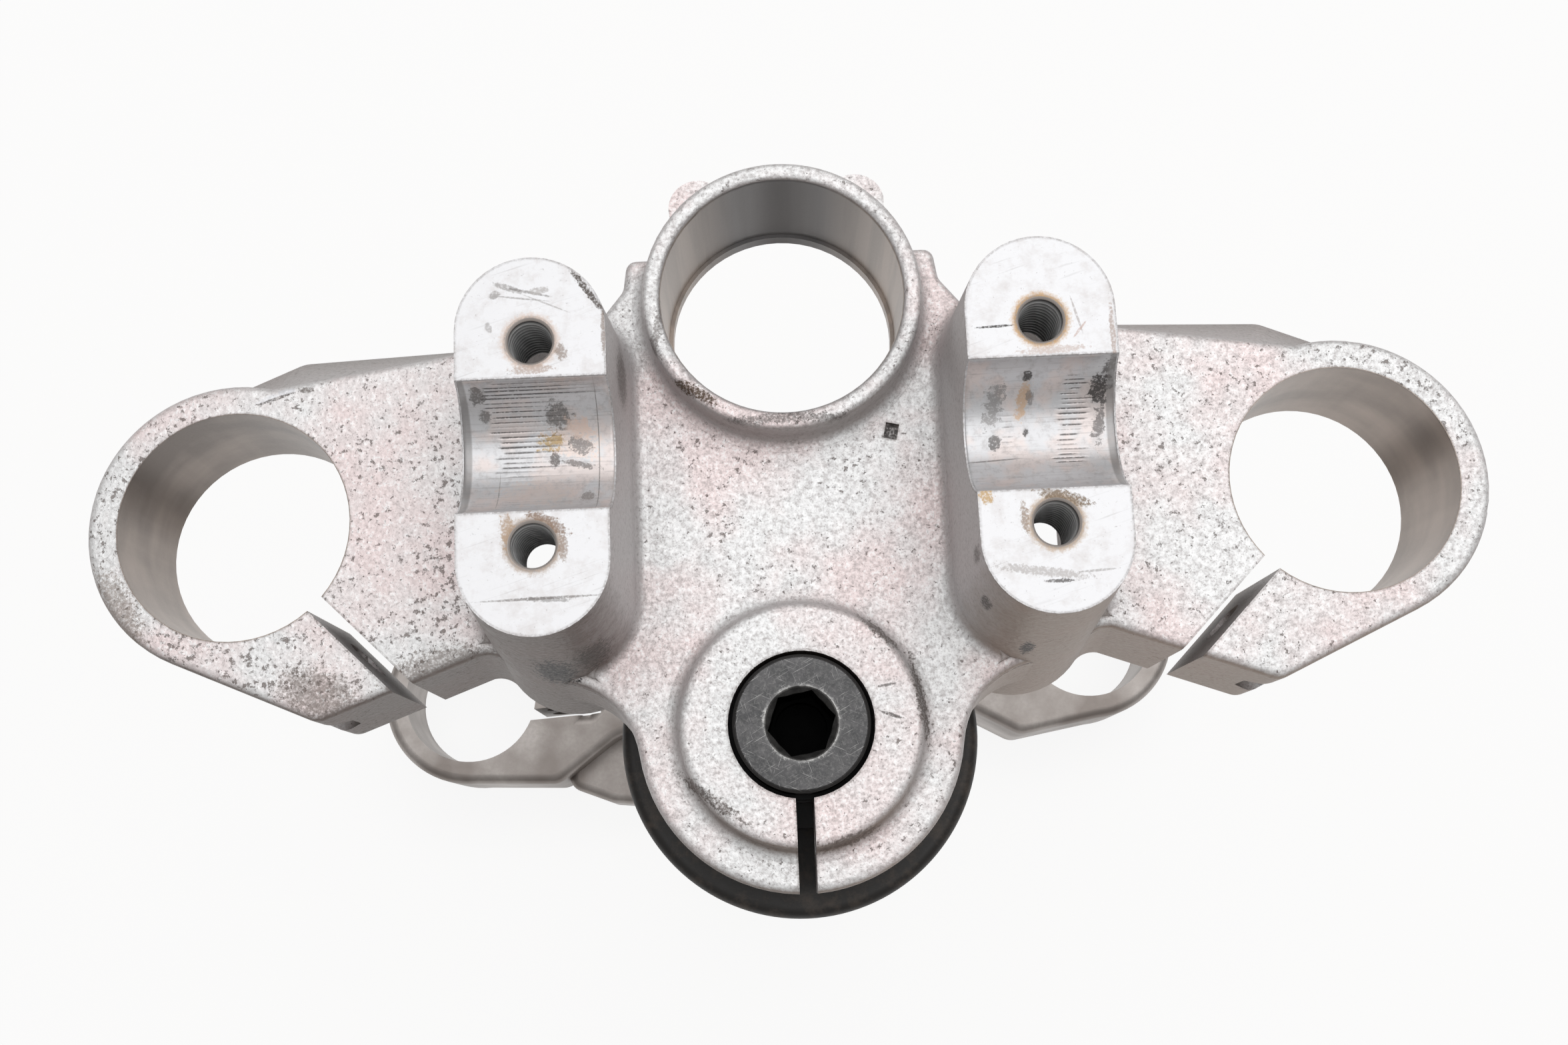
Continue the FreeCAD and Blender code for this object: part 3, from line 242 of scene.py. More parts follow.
def rgba(colour):
    """A colour property with full alpha, as a node socket takes it."""
    return (*colour, 1.0)


class CastFinish(bpy.types.PropertyGroup):
    """Colours and grain of the upper clamp's silver paint over a sand casting."""
    paint: bpy.props.FloatVectorProperty(
        name="Paint", description="Silver paint on the deck", subtype="COLOR", default=linear("EDEDED"))
    blush: bpy.props.FloatVectorProperty(
        name="Blush", description="Warm pinkish patches in the paint", subtype="COLOR",
        default=linear("EFE0DF"))
    speck: bpy.props.FloatVectorProperty(
        name="Speck", description="Small dark pits and dirt", subtype="COLOR", default=linear("6E625D"))
    # Colour of the painted shade in the creases
    crease_shade_colour: bpy.props.FloatVectorProperty(
        name="Grime", description="Brown film on the walls and in the creases", subtype="COLOR",
        default=linear("6F655E"))
    bare: bpy.props.FloatVectorProperty(
        name="Bare", description="Machined aluminium of the pads", subtype="COLOR",
        default=linear("DFDFE1"))
    bore: bpy.props.FloatVectorProperty(
        name="Bore", description="Turned wall of the fork bores", subtype="COLOR",
        default=linear("B8AAA0"))
    grain: bpy.props.FloatProperty(
        name="Grain", description="Width of one bump of the cast skin", unit="LENGTH", default=0.0008)
    grain_height: bpy.props.FloatProperty(
        name="Grain height", description="Height of the cast skin's bumps", unit="LENGTH",
        default=0.0001)


class RiserDetail(bpy.types.PropertyGroup):
    """Sizes of the riser threads and of the marks that the bar's knurl left in the saddles."""
    pitch: bpy.props.FloatProperty(
        name="Thread pitch", description="Rise of one turn of the thread", unit="LENGTH",
        default=0.00125)
    crest: bpy.props.FloatProperty(
        name="Thread crest", description="Radius at the crests of the thread", unit="LENGTH",
        default=0.00338)
    length: bpy.props.FloatProperty(
        name="Thread length", description="Depth of the thread below the pad", unit="LENGTH",
        default=0.0178)
    knurl: bpy.props.FloatProperty(
        name="Knurl spacing", description="Distance between two knurl marks", unit="LENGTH",
        default=0.00086)
    bite: bpy.props.FloatProperty(
        name="Knurl bite", description="Depth of a knurl mark", unit="LENGTH", default=0.00009)


class SteelFinish(bpy.types.PropertyGroup):
    """Colours of the steel pieces and the seal."""
    oxide: bpy.props.FloatVectorProperty(
        name="Oxide", description="Blackened face of the cap bolt", subtype="COLOR",
        default=linear("575657"))
    enamel: bpy.props.FloatVectorProperty(
        name="Enamel", description="Black of the dust cap", subtype="COLOR", default=linear("1D1A18"))
    steel: bpy.props.FloatVectorProperty(
        name="Steel", description="Turned steel of the stem", subtype="COLOR", default=linear("8A8A8C"))
    ground: bpy.props.FloatVectorProperty(
        name="Ground steel", description="Ground steel of races and rollers", subtype="COLOR",
        default=linear("C4C5C8"))
    rubber: bpy.props.FloatVectorProperty(
        name="Rubber", description="Seal rubber", subtype="COLOR", default=linear("232323"))


class LowerFinish(bpy.types.PropertyGroup):
    """Colours of the lower clamp's smooth casting."""
    satin: bpy.props.FloatVectorProperty(
        name="Satin", description="Smooth satin casting", subtype="COLOR", default=linear("BDB7B3"))
    shade: bpy.props.FloatVectorProperty(
        name="Shade", description="Darker dusty patches", subtype="COLOR", default=linear("8D8580"))


class StageLook(bpy.types.PropertyGroup):
    """Floor and light."""
    floor: bpy.props.FloatVectorProperty(
        name="Floor", description="Pale floor", subtype="COLOR", default=linear("F7F4F1"))
    softbox_power: bpy.props.FloatProperty(
        name="Softbox power", description="Power of the light overhead", default=15.0)
    softbox_side: bpy.props.FloatProperty(
        name="Softbox side", description="Side of the light overhead", unit="LENGTH", default=1.8)
    room: bpy.props.FloatProperty(
        name="Room", description="Strength of the room's light", default=0.5)


def add_node(tree, kind, inputs=(), out=0, **settings):
    """Add a shader node with its settings and its sockets' values or links, and return one output.
    The finishes call it as put, bound to their own tree."""
    made = tree.nodes.new("ShaderNode" + kind)
    for name, value in settings.items():
        setattr(made, name, value)
    for key, value in dict(inputs).items():
        if isinstance(value, bpy.types.NodeSocket):
            tree.links.new(value, made.inputs[key])
        else:
            made.inputs[key].default_value = value
    return made.outputs[out] if made.outputs else made


def new_material(name):
    """An empty material, and the function that adds nodes to it."""
    material = bpy.data.materials.new(name)
    material.use_nodes = True
    material.node_tree.nodes.clear()
    return material, functools.partial(add_node, material.node_tree)


def close_material(material, put, inputs):
    """Add the shader and output that every finish ends in, and return the material."""
    shader = put("BsdfPrincipled", inputs)
    put("OutputMaterial", {"Surface": shader})
    return material


def in_millimetres(put):
    """Object coordinates in millimetres, so that a noise's scale counts its bumps per millimetre."""
    place = put("TexCoord", out="Object")
    return put("VectorMath", {0: place, "Scale": 1 / MM}, operation="SCALE")


def stain(put, under, place, ragged, patchy, mark):
    """Lay one mark over a colour. Its mask is the distance from its centre as a share of its half
    sizes, pushed in and out by the ragged noise, with a soft edge, and thinned by the patchy noise."""
    (x, y, z), half, turn, code, cover, wild = mark
    local = put("Mapping", {"Vector": place, "Location": (x, y, z + DECK / MM), "Scale": half,
                            "Rotation": (0, 0, math.radians(turn))}, vector_type="TEXTURE")
    reach = put("VectorMath", {0: local}, out="Value", operation="LENGTH")
    pushed = put("Math", {0: ragged, 1: wild, 2: reach}, operation="MULTIPLY_ADD")
    edge = 1 + wild / 2
    mask = put("MapRange", {"Value": pushed, "From Min": edge + SOFT_EDGE,
                            "From Max": edge - SOFT_EDGE, "To Max": cover})
    mask = put("Math", {0: mask, 1: patchy}, operation="MULTIPLY")
    return put("MixRGB", {"Fac": mask, "Color1": under, "Color2": tone(code)})


def upward(put, shake):
    """How far a face looks up, from 0 on a wall to 1 on a level face, broken by a noise."""
    facing = put("SeparateXYZ", {0: put("NewGeometry", out="Normal")}).node.outputs["Z"]
    shaken = put("Math", {0: shake, 1: 0.30, 2: facing}, operation="MULTIPLY_ADD")
    return put("MapRange", {"Value": shaken, "From Min": 0.58, "From Max": 0.92})


def sharp_edges(put, width, share):
    """Where a face comes close to a sharp edge, by how far the rounded normal leaves the true one."""
    rounded = put("Bevel", {"Radius": width * MM}, samples=4)
    facing = put("NewGeometry", out="Normal")
    along = put("VectorMath", {0: rounded, 1: facing}, out="Value", operation="DOT_PRODUCT")
    return put("MapRange", {"Value": along, "From Min": 0.995, "From Max": 0.955, "To Max": share})


def silver_cast():
    """Sand-cast aluminium under silver paint: a matt skin of small bumps with painted glints on their
    tops, painted shade in their hollows, dark pits, painted brown shade on its walls and in its
    creases, and bright cut faces where it was machined."""
    look = bpy.context.scene.clamp_cast
    material, put = new_material("silver_painted_cast_aluminium")
    place = in_millimetres(put)
    parts = put("SeparateXYZ", {0: place})
    across, ahead, up = parts, parts.node.outputs["Y"], parts.node.outputs["Z"]
    aside = put("Math", {0: across}, operation="ABSOLUTE")
    height = put("Math", {0: up, 1: DECK / MM}, operation="SUBTRACT")
    flat = put("CombineXYZ", {0: aside, 1: ahead})

    # Noises: wide clouds, the bumps of the skin, its fine grit, the torn edges of marks, blotches,
    # the places where pits crowd together, and the pits
    clouds, grain, fine, torn, blotch, crowd, pits = [
        put("TexNoise", {"Vector": place, "Scale": scale, "Detail": detail, "Roughness": harsh})
        for scale, detail, harsh in ((0.045, 3.0, 0.6), (MM / look.grain, 3.0, 0.7), (2.4, 2.0, 0.6),
                                     (1.5, 4.0, 0.75), (0.28, 4.0, 0.7), (0.07, 2.0, 0.5),
                                     (0.95, 3.0, 0.68))]
    patchy = put("MapRange", {"Value": fine, "From Min": 0.32, "From Max": 0.52,
                              "To Min": 0.35, "To Max": 1})
    shake = put("Math", {0: fine, 1: 0.5}, operation="SUBTRACT")
    level = upward(put, shake)

    # Paint with pinkish clouds, painted shade in the skin's hollows, less on the left arm, and
    # painted glints on the bump tops
    patch = put("MapRange", {"Value": clouds, "From Min": 0.42, "From Max": 0.62})
    colour = put("MixRGB", {"Fac": patch, "Color1": rgba(look.paint), "Color2": rgba(look.blush)})
    arms = put("MapRange", {"Value": across, "From Min": -46, "From Max": -60,
                            "To Min": 0.56, "To Max": 0.24})
    hollow_shade = put("MapRange", {"Value": grain, "From Min": 0.52, "From Max": 0.34})
    hollow_shade = put("Math", {0: hollow_shade, 1: arms}, operation="MULTIPLY")
    bump_glint = put("MapRange", {"Value": grain, "From Min": 0.54, "From Max": 0.64, "To Max": 0.7})

    # Pits about 0.4 mm wide, closest together on the left arm and sparse between the risers
    left = put("MapRange", {"Value": across, "From Min": -48, "From Max": -60, "To Max": 0.05})
    right = put("MapRange", {"Value": across, "From Min": 48, "From Max": 60, "To Max": 0.02})
    more = put("Math", {0: left, 1: right}, operation="ADD")
    more = put("Math", {0: crowd, 1: 0.22, 2: more}, operation="MULTIPLY_ADD")
    pits = put("Math", {0: pits, 1: more}, operation="ADD")
    pits = put("MapRange", {"Value": pits, "From Min": 0.755, "From Max": 0.83, "To Max": 0.8})
    grit = put("MapRange", {"Value": fine, "From Min": 0.58, "From Max": 0.68, "To Max": 0.42})

    # Painted shade on the walls: browner and darker low down and gritty, with deeper painted shade
    # on the faces that look to the rear, darkest on the left and at the back
    low = put("MapRange", {"Value": height, "From Min": -4, "From Max": -24})
    film = put("MixRGB", {"Fac": low, "Color1": tone("C2BEBE"), "Color2": tone("746A64")})
    wall_grit = put("MapRange", {"Value": torn, "From Min": 0.52, "From Max": 0.66, "To Max": 0.45})
    facing = put("NewGeometry", out="Normal")
    facing = put("SeparateXYZ", {0: facing}).node.outputs["Y"]
    rear_shade = put("Math", {0: blotch, 1: 0.5, 2: facing}, operation="MULTIPLY_ADD")
    rear_shade = put("MapRange", {"Value": rear_shade, "From Min": 0, "From Max": -0.6, "To Max": 0.95})
    aft = put("MapRange", {"Value": ahead, "From Min": 44, "From Max": 24,
                           "To Min": 0.35, "To Max": 1})
    rear_shade = put("Math", {0: rear_shade, 1: aft}, operation="MULTIPLY")
    # Colour of the painted shade on faces that look to the rear, dark brown on the left
    dirt = put("MapRange", {"Value": across, "From Min": -25, "From Max": 25})
    dirt = put("MixRGB", {"Fac": dirt, "Color1": tone("4A392D"), "Color2": tone("8F7D6F")})
    for mask, over in ((wall_grit, tone("645B56")), (rear_shade, dirt)):
        film = put("MixRGB", {"Fac": mask, "Color1": film, "Color2": over})
    # Share of the painted wall shade, full on an upright face
    wall = put("MapRange", {"Value": level, "From Min": 1, "From Max": 0, "To Max": 0.88})
    # Painted shade in the creases, by ambient occlusion
    open_sky = put("AmbientOcclusion", {"Distance": 3.5 * MM}, out="AO", samples=6)
    crease_shade = put("MapRange", {"Value": open_sky, "From Min": 0.85, "From Max": 0.30, "To Max": 0.58})

    # Machined faces: pads, saddles, fork bores and the switch ring's bore. Each starts a tenth of a
    # millimetre or two outside its own surface.
    flat_pad = put("MapRange", {"Value": height, "From Min": RISER_TOP - 0.3,
                                "From Max": RISER_TOP - 0.1})
    pad = put("Math", {0: flat_pad, 1: level}, operation="MULTIPLY")
    turned = put("CombineXYZ", {0: ahead, 1: height})
    saddle, fork_bore, ring_bore = [
        put("MapRange", {
            "Value": put("VectorMath", {0: seen, 1: centre}, out="Value", operation="DISTANCE"),
            "From Min": radius + outer, "From Max": radius + inner})
        for seen, centre, radius, outer, inner in (
            (turned, (BAR_Y, BAR_Z, 0), BAR_R, 0.16, 0.06),
            (flat, (*FORK_AXIS, 0), FORK_BORE_R, 0.2, 0.08),
            (flat, (0, IGNITION_Y, 0), IGNITION_BORE_R, 0.2, 0.08))]
    cut = put("Math", {0: pad, 1: saddle}, operation="MAXIMUM")

    # Cut faces: hair scratches, grey smears, dark flecks and a stained burr round each hole
    hair_place = put("Mapping", {"Vector": place, "Rotation": (0, 0, 0.3),
                                 "Scale": (9.0, 0.4, 1.0)}, vector_type="TEXTURE")
    hair = put("TexNoise", {"Vector": hair_place, "Scale": 1, "Detail": 2, "Roughness": 0.5})
    hair = put("MapRange", {"Value": hair, "From Min": 0.64, "From Max": 0.76, "To Max": 0.35})
    smear = put("MapRange", {"Value": blotch, "From Min": 0.48, "From Max": 0.74, "To Max": 0.5})
    flecks = put("MapRange", {"Value": torn, "From Min": 0.63, "From Max": 0.70, "To Max": 0.5})
    cut_layers = [(hair, "AFADAD"), (smear, "BDB5B2"), (flecks, "8E8886")]
    seen = put("CombineXYZ", {0: across, 1: ahead})
    for hole, code in HOLE_STAINS:
        from_hole = put("VectorMath", {0: seen, 1: hole}, out="Value", operation="DISTANCE")
        pushed = put("Math", {0: torn, 1: 2.4, 2: from_hole}, operation="MULTIPLY_ADD")
        ring = put("MapRange", {"Value": pushed, "From Min": RISER_HOLE_R + 2.3,
                                "From Max": RISER_HOLE_R + 1.3, "To Max": 0.85})
        cut_layers.append((ring, code))
    cut_face = rgba(look.bare)
    for mask, code in cut_layers:
        cut_face = put("MixRGB", {"Fac": mask, "Color1": cut_face, "Color2": tone(code)})

    # Bore walls: grey smudges with painted shade at the front, tan at the sides, faint upright bands
    bands, smudge_and_shade = [
        put("TexNoise", {"Vector": put("Mapping", {"Vector": place, "Scale": scale}),
                         "Scale": 1, "Detail": 3, "Roughness": harsh})
        for scale, harsh in (((0.22, 0.22, 0.012), 0.6), ((0.05, 0.05, 0.09), 0.5))]
    band = put("MapRange", {"Value": bands, "From Min": 0.40, "From Max": 0.62})
    smudge_and_shade = put("MapRange", {"Value": smudge_and_shade, "From Min": 0.36, "From Max": 0.66})
    front_shade_share = put("MapRange", {"Value": across, "From Min": -10, "From Max": 10,
                                   "To Min": 0.5, "To Max": 0.1})
    front_shade = put("MapRange", {"Value": ahead, "From Min": 22, "From Max": 52,
                                "To Max": front_shade_share})
    smudge_and_shade = put("Math", {0: smudge_and_shade, 1: 0.5, 2: front_shade}, operation="MULTIPLY_ADD")
    smudge_and_shade = put("Math", {0: band, 1: 0.12, 2: smudge_and_shade}, operation="MULTIPLY_ADD")
    fork_wall = put("MixRGB", {"Fac": smudge_and_shade, "Color1": rgba(look.bore), "Color2": tone("7D736C")})
    # The switch ring's bore: painted shade on its front and rear walls, tan on its sides
    side = put("MapRange", {"Value": aside, "From Min": 8, "From Max": 20})
    ring_wall = put("MixRGB", {"Fac": side, "Color1": tone("7F7D7D"), "Color2": tone("B5A89E")})
    streak = put("MapRange", {"Value": bands, "From Min": 0.45, "From Max": 0.60, "To Max": 0.3})
    ring_wall = put("MixRGB", {"Fac": streak, "Color1": ring_wall, "Color2": tone("6A6765")})

    # A dark brown hair line along sharp edges of the top, broken by the torn noise
    edge = sharp_edges(put, 0.8, 1.0)
    broken = put("MapRange", {"Value": torn, "From Min": 0.36, "From Max": 0.58,
                              "To Min": 0.15, "To Max": 0.8})
    top_edges = put("MapRange", {"Value": height, "From Min": -6, "From Max": -3})
    broken = put("Math", {0: broken, 1: top_edges}, operation="MULTIPLY")
    outline = put("Math", {0: edge, 1: broken}, operation="MULTIPLY")

    for mask, over in ((hollow_shade, tone("9E9796")), (bump_glint, tone("FFFFFF")), (pits, rgba(look.speck)),
                       (grit, tone("8A8280")), (wall, film), (crease_shade, rgba(look.crease_shade_colour)),
                       (cut, cut_face), (fork_bore, fork_wall), (ring_bore, ring_wall),
                       (outline, tone("655B55"))):
        colour = put("MixRGB", {"Fac": mask, "Color1": colour, "Color2": over})
    for mark in CAST_MARKS:
        colour = stain(put, colour, place, torn, patchy, mark)

    machined = put("Math", {0: fork_bore, 1: ring_bore}, operation="MAXIMUM")
    machined = put("Math", {0: cut, 1: machined}, operation="MAXIMUM")
    rough = put("MapRange", {"Value": machined, "To Min": 0.5, "To Max": 0.36})
    rough = put("Math", {0: shake, 1: 0.14, 2: rough}, operation="MULTIPLY_ADD")
    cells = put("TexVoronoi", {"Vector": place, "Scale": 0.85 * MM / look.grain,
                               "Smoothness": 0.6}, out="Distance", feature="SMOOTH_F1")
    relief = put("Math", {0: grain, 1: cells}, operation="SUBTRACT")
    relief = put("Math", {0: relief, 1: pits}, operation="SUBTRACT")
    skin = put("MapRange", {"Value": machined, "To Min": 1, "To Max": 0.04})
    relief = put("Math", {0: relief, 1: skin}, operation="MULTIPLY")
    bumped = put("Bump", {"Strength": 1.0, "Distance": look.grain_height, "Height": relief},
                 out="Normal")
    return close_material(material, put, {"Base Color": colour, "Metallic": 0.4,
                                          "Roughness": rough, "Normal": bumped})


def printed_saddle():
    """Bored aluminium that a knurled bar was clamped in: satin grey with the dark cuts of the
    knurl, pinkish rubbed fields, and grey, tan and gold remains of old film."""
    material, put = new_material("bar_printed_bored_aluminium")
    place = in_millimetres(put)
    torn, fine, clouds = [
        put("TexNoise", {"Vector": place, "Scale": scale, "Detail": detail, "Roughness": harsh})
        for scale, detail, harsh in ((0.75, 5.0, 0.75), (2.6, 3.0, 0.65), (0.16, 3.0, 0.6))]
    patchy = put("MapRange", {"Value": fine, "From Min": 0.30, "From Max": 0.46,
                              "To Min": 0.3, "To Max": 1})
    rubbed = put("MapRange", {"Value": clouds, "From Min": 0.46, "From Max": 0.60, "To Max": 0.8})
    haze = put("MapRange", {"Value": torn, "From Min": 0.50, "From Max": 0.68, "To Max": 0.4})
    lines_place = put("Mapping", {"Vector": place, "Scale": (0.12, 3.0, 3.0)})
    lines = put("TexNoise", {"Vector": lines_place, "Scale": 1, "Detail": 2})
    lines = put("MapRange", {"Value": lines, "From Min": 0.58, "From Max": 0.70, "To Max": 0.3})
    # Painted shade on the outer rim of the saddle, where its chamfer lies
    outer = put("SeparateXYZ", {0: place})
    outer = put("Math", {0: outer}, operation="ABSOLUTE")
    rim = put("MapRange", {"Value": outer, "From Min": 52, "From Max": 52.3, "To Max": 0.7})
    bite = put("Attribute", out="Fac", attribute_name="bite")
    broken = put("MapRange", {"Value": fine, "From Min": 0.34, "From Max": 0.52,
                              "To Min": 0.35, "To Max": 1})
    bitten = put("Math", {0: bite, 1: broken}, operation="MULTIPLY")
    bitten = put("MapRange", {"Value": bitten, "From Min": 0.12, "From Max": 0.62, "To Max": 0.85})
    colour = tone("CFCFD1")
    for mask, code in ((rubbed, "D9CDC9"), (haze, "9A9594"), (lines, "8D8887")):
        colour = put("MixRGB", {"Fac": mask, "Color1": colour, "Color2": tone(code)})
    for mark in SADDLE_MARKS:
        colour = stain(put, colour, place, torn, patchy, mark)
    for mask, code in ((rim, "8A8786"), (bitten, "3C3937")):
        colour = put("MixRGB", {"Fac": mask, "Color1": colour, "Color2": tone(code)})
    rough = put("MapRange", {"Value": torn, "To Min": 0.26, "To Max": 0.5})
    bumped = put("Bump", {"Strength": 0.5, "Distance": 0.02 * MM, "Height": fine}, out="Normal")
    return close_material(material, put, {"Base Color": colour, "Metallic": 0.55,
                                          "Roughness": rough, "Normal": bumped})


def cut_thread():
    """Tapped aluminium, oily and grey: a painted highlight on the crests, painted shade that is
    nearly black in the roots, and a clean pale mouth.
    """
    material, put = new_material("tapped_aluminium_thread")
    place = in_millimetres(put)
    # Painted highlight on the crests, and painted shade, nearly black, in the roots
    crest = put("Attribute", out="Fac", attribute_name="crest")
    oil = put("TexNoise", {"Vector": place, "Scale": 0.8, "Detail": 3, "Roughness": 0.65})
    oiled = put("MapRange", {"Value": oil, "From Min": 0.38, "From Max": 0.62, "To Max": 0.6})
    root = put("MixRGB", {"Fac": oiled, "Color1": tone("343230"), "Color2": tone("1C1A19")})
    colour = put("MixRGB", {"Fac": crest, "Color1": root, "Color2": tone("F4F4F4")})
    mouth = put("SeparateXYZ", {0: place}).node.outputs["Z"]
    mouth = put("Math", {0: oil, 1: 0.7, 2: mouth}, operation="MULTIPLY_ADD")
    mouth = put("MapRange", {"Value": mouth, "From Min": DECK / MM + RISER_TOP - 0.5,
                             "From Max": DECK / MM + RISER_TOP - 0.15, "To Max": 0.8})
    colour = put("MixRGB", {"Fac": mouth, "Color1": colour, "Color2": tone("C4BBB5")})
    rough = put("MapRange", {"Value": oil, "To Min": 0.25, "To Max": 0.45})
    return close_material(material, put, {"Base Color": colour, "Metallic": 0.25, "Roughness": rough})


def satin_cast():
    """Die-smooth aluminium casting left bare: a soft satin sheen with wide dusty patches and
    painted shade in its creases.
    """
    look = bpy.context.scene.clamp_lower
    material, put = new_material("satin_cast_aluminium")
    place = in_millimetres(put)
    clouds = put("TexNoise", {"Vector": place, "Scale": 0.035, "Detail": 3, "Roughness": 0.6})
    patch = put("MapRange", {"Value": clouds, "From Min": 0.4, "From Max": 0.65})
    colour = put("MixRGB", {"Fac": patch, "Color1": rgba(look.satin), "Color2": rgba(look.shade)})
    skin = put("TexNoise", {"Vector": place, "Scale": 0.8, "Detail": 3, "Roughness": 0.6})
    mottle = put("MapRange", {"Value": skin, "From Min": 0.58, "From Max": 0.40, "To Max": 0.25})
    # Painted shade in the creases, by ambient occlusion
    open_sky = put("AmbientOcclusion", {"Distance": 8 * MM}, out="AO", samples=4)
    crease_shade = put("MapRange", {"Value": open_sky, "From Min": 0.9, "From Max": 0.3, "To Max": 0.5})
    for mask, over in ((mottle, rgba(look.shade)), (crease_shade, tone("6A615B"))):
        colour = put("MixRGB", {"Fac": mask, "Color1": colour, "Color2": over})
    rough = put("MapRange", {"Value": skin, "To Min": 0.36, "To Max": 0.52})
    bumped = put("Bump", {"Strength": 1.0, "Distance": 0.03 * MM, "Height": skin}, out="Normal")
    return close_material(material, put, {"Base Color": colour, "Metallic": 0.75,
                                          "Roughness": rough, "Normal": bumped})


def turned_steel(name, shade, dark, rough_low, rough_high, black_above=1000.0):
    """Turned or ground steel: fine rings about the steering axis, a little darker in their grooves,
    and black above a height."""
    material, put = new_material(name)
    place = in_millimetres(put)
    rings = put("Mapping", {"Vector": place, "Scale": (0.02, 0.02, 5.0)})
    lines = put("TexNoise", {"Vector": rings, "Scale": 1, "Detail": 2})
    clouds = put("TexNoise", {"Vector": place, "Scale": 0.05, "Detail": 3, "Roughness": 0.5})
    worn = put("MapRange", {"Value": clouds, "From Min": 0.36, "From Max": 0.70})
    groove = put("MapRange", {"Value": lines, "From Min": 0.35, "From Max": 0.65, "To Max": 0.5})
    worn = put("Math", {0: worn, 1: 0.6, 2: groove}, operation="MULTIPLY_ADD")
    colour = put("MixRGB", {"Fac": worn, "Color1": rgba(shade), "Color2": rgba(dark)})
    height = put("SeparateXYZ", {0: place}).node.outputs["Z"]
    black = put("MapRange", {"Value": height, "From Min": black_above - 1, "From Max": black_above})
    colour = put("MixRGB", {"Fac": black, "Color1": colour, "Color2": tone("161616")})
    rough = put("MapRange", {"Value": lines, "From Min": 0.3, "From Max": 0.7, "To Min": rough_low,
                             "To Max": rough_high})
    bumped = put("Bump", {"Strength": 0.6, "Distance": 0.01 * MM, "Height": lines}, out="Normal")
    return close_material(material, put, {"Base Color": colour, "Metallic": 0.9,
                                          "Roughness": rough, "Normal": bumped})


def scratched_oxide():
    """Blackened bolt steel, rubbed grey on its face, with fine bright scratches, a chipped rim
    round the socket, and painted shade that makes the socket and the steep faces near black."""
    look = bpy.context.scene.clamp_steel
    material, put = new_material("scratched_black_oxide_steel")
    place = in_millimetres(put)
    parts = put("SeparateXYZ", {0: place})
    flat = put("CombineXYZ", {0: parts, 1: parts.node.outputs["Y"]})
    from_axis = put("VectorMath", {0: flat}, out="Value", operation="LENGTH")
    facing_up = put("SeparateXYZ", {0: put("NewGeometry", out="Normal")}).node.outputs["Z"]
    clouds, fine = [
        put("TexNoise", {"Vector": place, "Scale": scale, "Detail": detail, "Roughness": 0.7})
        for scale, detail in ((0.32, 4.0), (2.6, 3.0))]
    worn = put("MapRange", {"Value": clouds, "From Min": 0.40, "From Max": 0.62})
    film = put("MapRange", {"Value": fine, "From Min": 0.48, "From Max": 0.68, "To Max": 0.35})
    layers = [(worn, "484849"), (film, "8B8A88")]
    for turn, limit in ((0.5, 0.66), (1.9, 0.68), (2.7, 0.67), (1.2, 0.69)):
        lines = put("Mapping", {"Vector": place, "Rotation": (0, 0, turn),
                                "Scale": (5.0, 0.18, 1.0)}, vector_type="TEXTURE")
        hair = put("TexNoise", {"Vector": lines, "Scale": 1, "Detail": 3})
        hair = put("MapRange", {"Value": hair, "From Min": limit, "From Max": limit + 0.05,
                                "To Max": 0.6})
        layers.append((hair, "BDBCBA"))
    shaken = put("Math", {0: fine, 1: 2.2, 2: from_axis}, operation="MULTIPLY_ADD")
    chips = put("MapRange", {"Value": clouds, "From Min": 0.42, "From Max": 0.58,
                             "To Min": 0.1, "To Max": 0.85})
    rim = put("MapRange", {"Value": shaken, "From Min": SOCKET_R + 1.9,
                           "From Max": SOCKET_R + 1.35, "To Max": chips})
    # Painted shade: the socket's mouth dark, and near black below it and on every steep face
    depth = put("Math", {0: BOLT_TOP / MM, 1: parts.node.outputs["Z"]}, operation="SUBTRACT")
    mouth = put("MapRange", {"Value": depth, "From Min": 0.1, "From Max": 0.3, "To Max": 0.85})
    socket_shade = put("MapRange", {"Value": depth, "From Min": 0.9, "From Max": 1.2})
    level = put("MapRange", {"Value": facing_up, "From Min": 0.5, "From Max": 0.95})
    side = put("MapRange", {"Value": level, "From Min": 0.6, "From Max": 0.2})
    dark = put("Math", {0: socket_shade, 1: side}, operation="MAXIMUM")
    colour = rgba(look.oxide)
    for mask, code in (*layers, (rim, "C9C8C6"), (mouth, "3A3938"), (dark, "070707")):
        colour = put("MixRGB", {"Fac": mask, "Color1": colour, "Color2": tone(code)})
    rough = put("MapRange", {"Value": clouds, "To Min": 0.36, "To Max": 0.55})
    metal = put("MapRange", {"Value": dark, "To Min": 0.5, "To Max": 1})
    return close_material(material, put, {"Base Color": colour, "Metallic": metal, "Roughness": rough})


def worn_enamel(name, shade, rubbed):
    """Black enamel on pressed steel, dusty, with brown rubbed patches."""
    material, put = new_material(name)
    place = in_millimetres(put)
    clouds = put("TexNoise", {"Vector": place, "Scale": 0.25, "Detail": 5, "Roughness": 0.7})
    worn = put("MapRange", {"Value": clouds, "From Min": 0.46, "From Max": 0.70})
    colour = put("MixRGB", {"Fac": worn, "Color1": rgba(shade), "Color2": rgba(rubbed)})
    rough = put("MapRange", {"Value": clouds, "To Min": 0.38, "To Max": 0.68})
    bumped = put("Bump", {"Strength": 0.5, "Distance": 0.02 * MM, "Height": clouds}, out="Normal")
    return close_material(material, put, {"Base Color": colour, "Metallic": 0.0,
                                          "Roughness": rough, "Normal": bumped})


def dress(nodes, material):
    """Give CAD nodes a finish."""
    for name in nodes:
        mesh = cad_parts[name].data
        mesh.materials.clear()
        mesh.materials.append(material)


def roller_names(start):
    """Names of the nodes of one bearing's rollers."""
    return [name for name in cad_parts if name.startswith(start)]


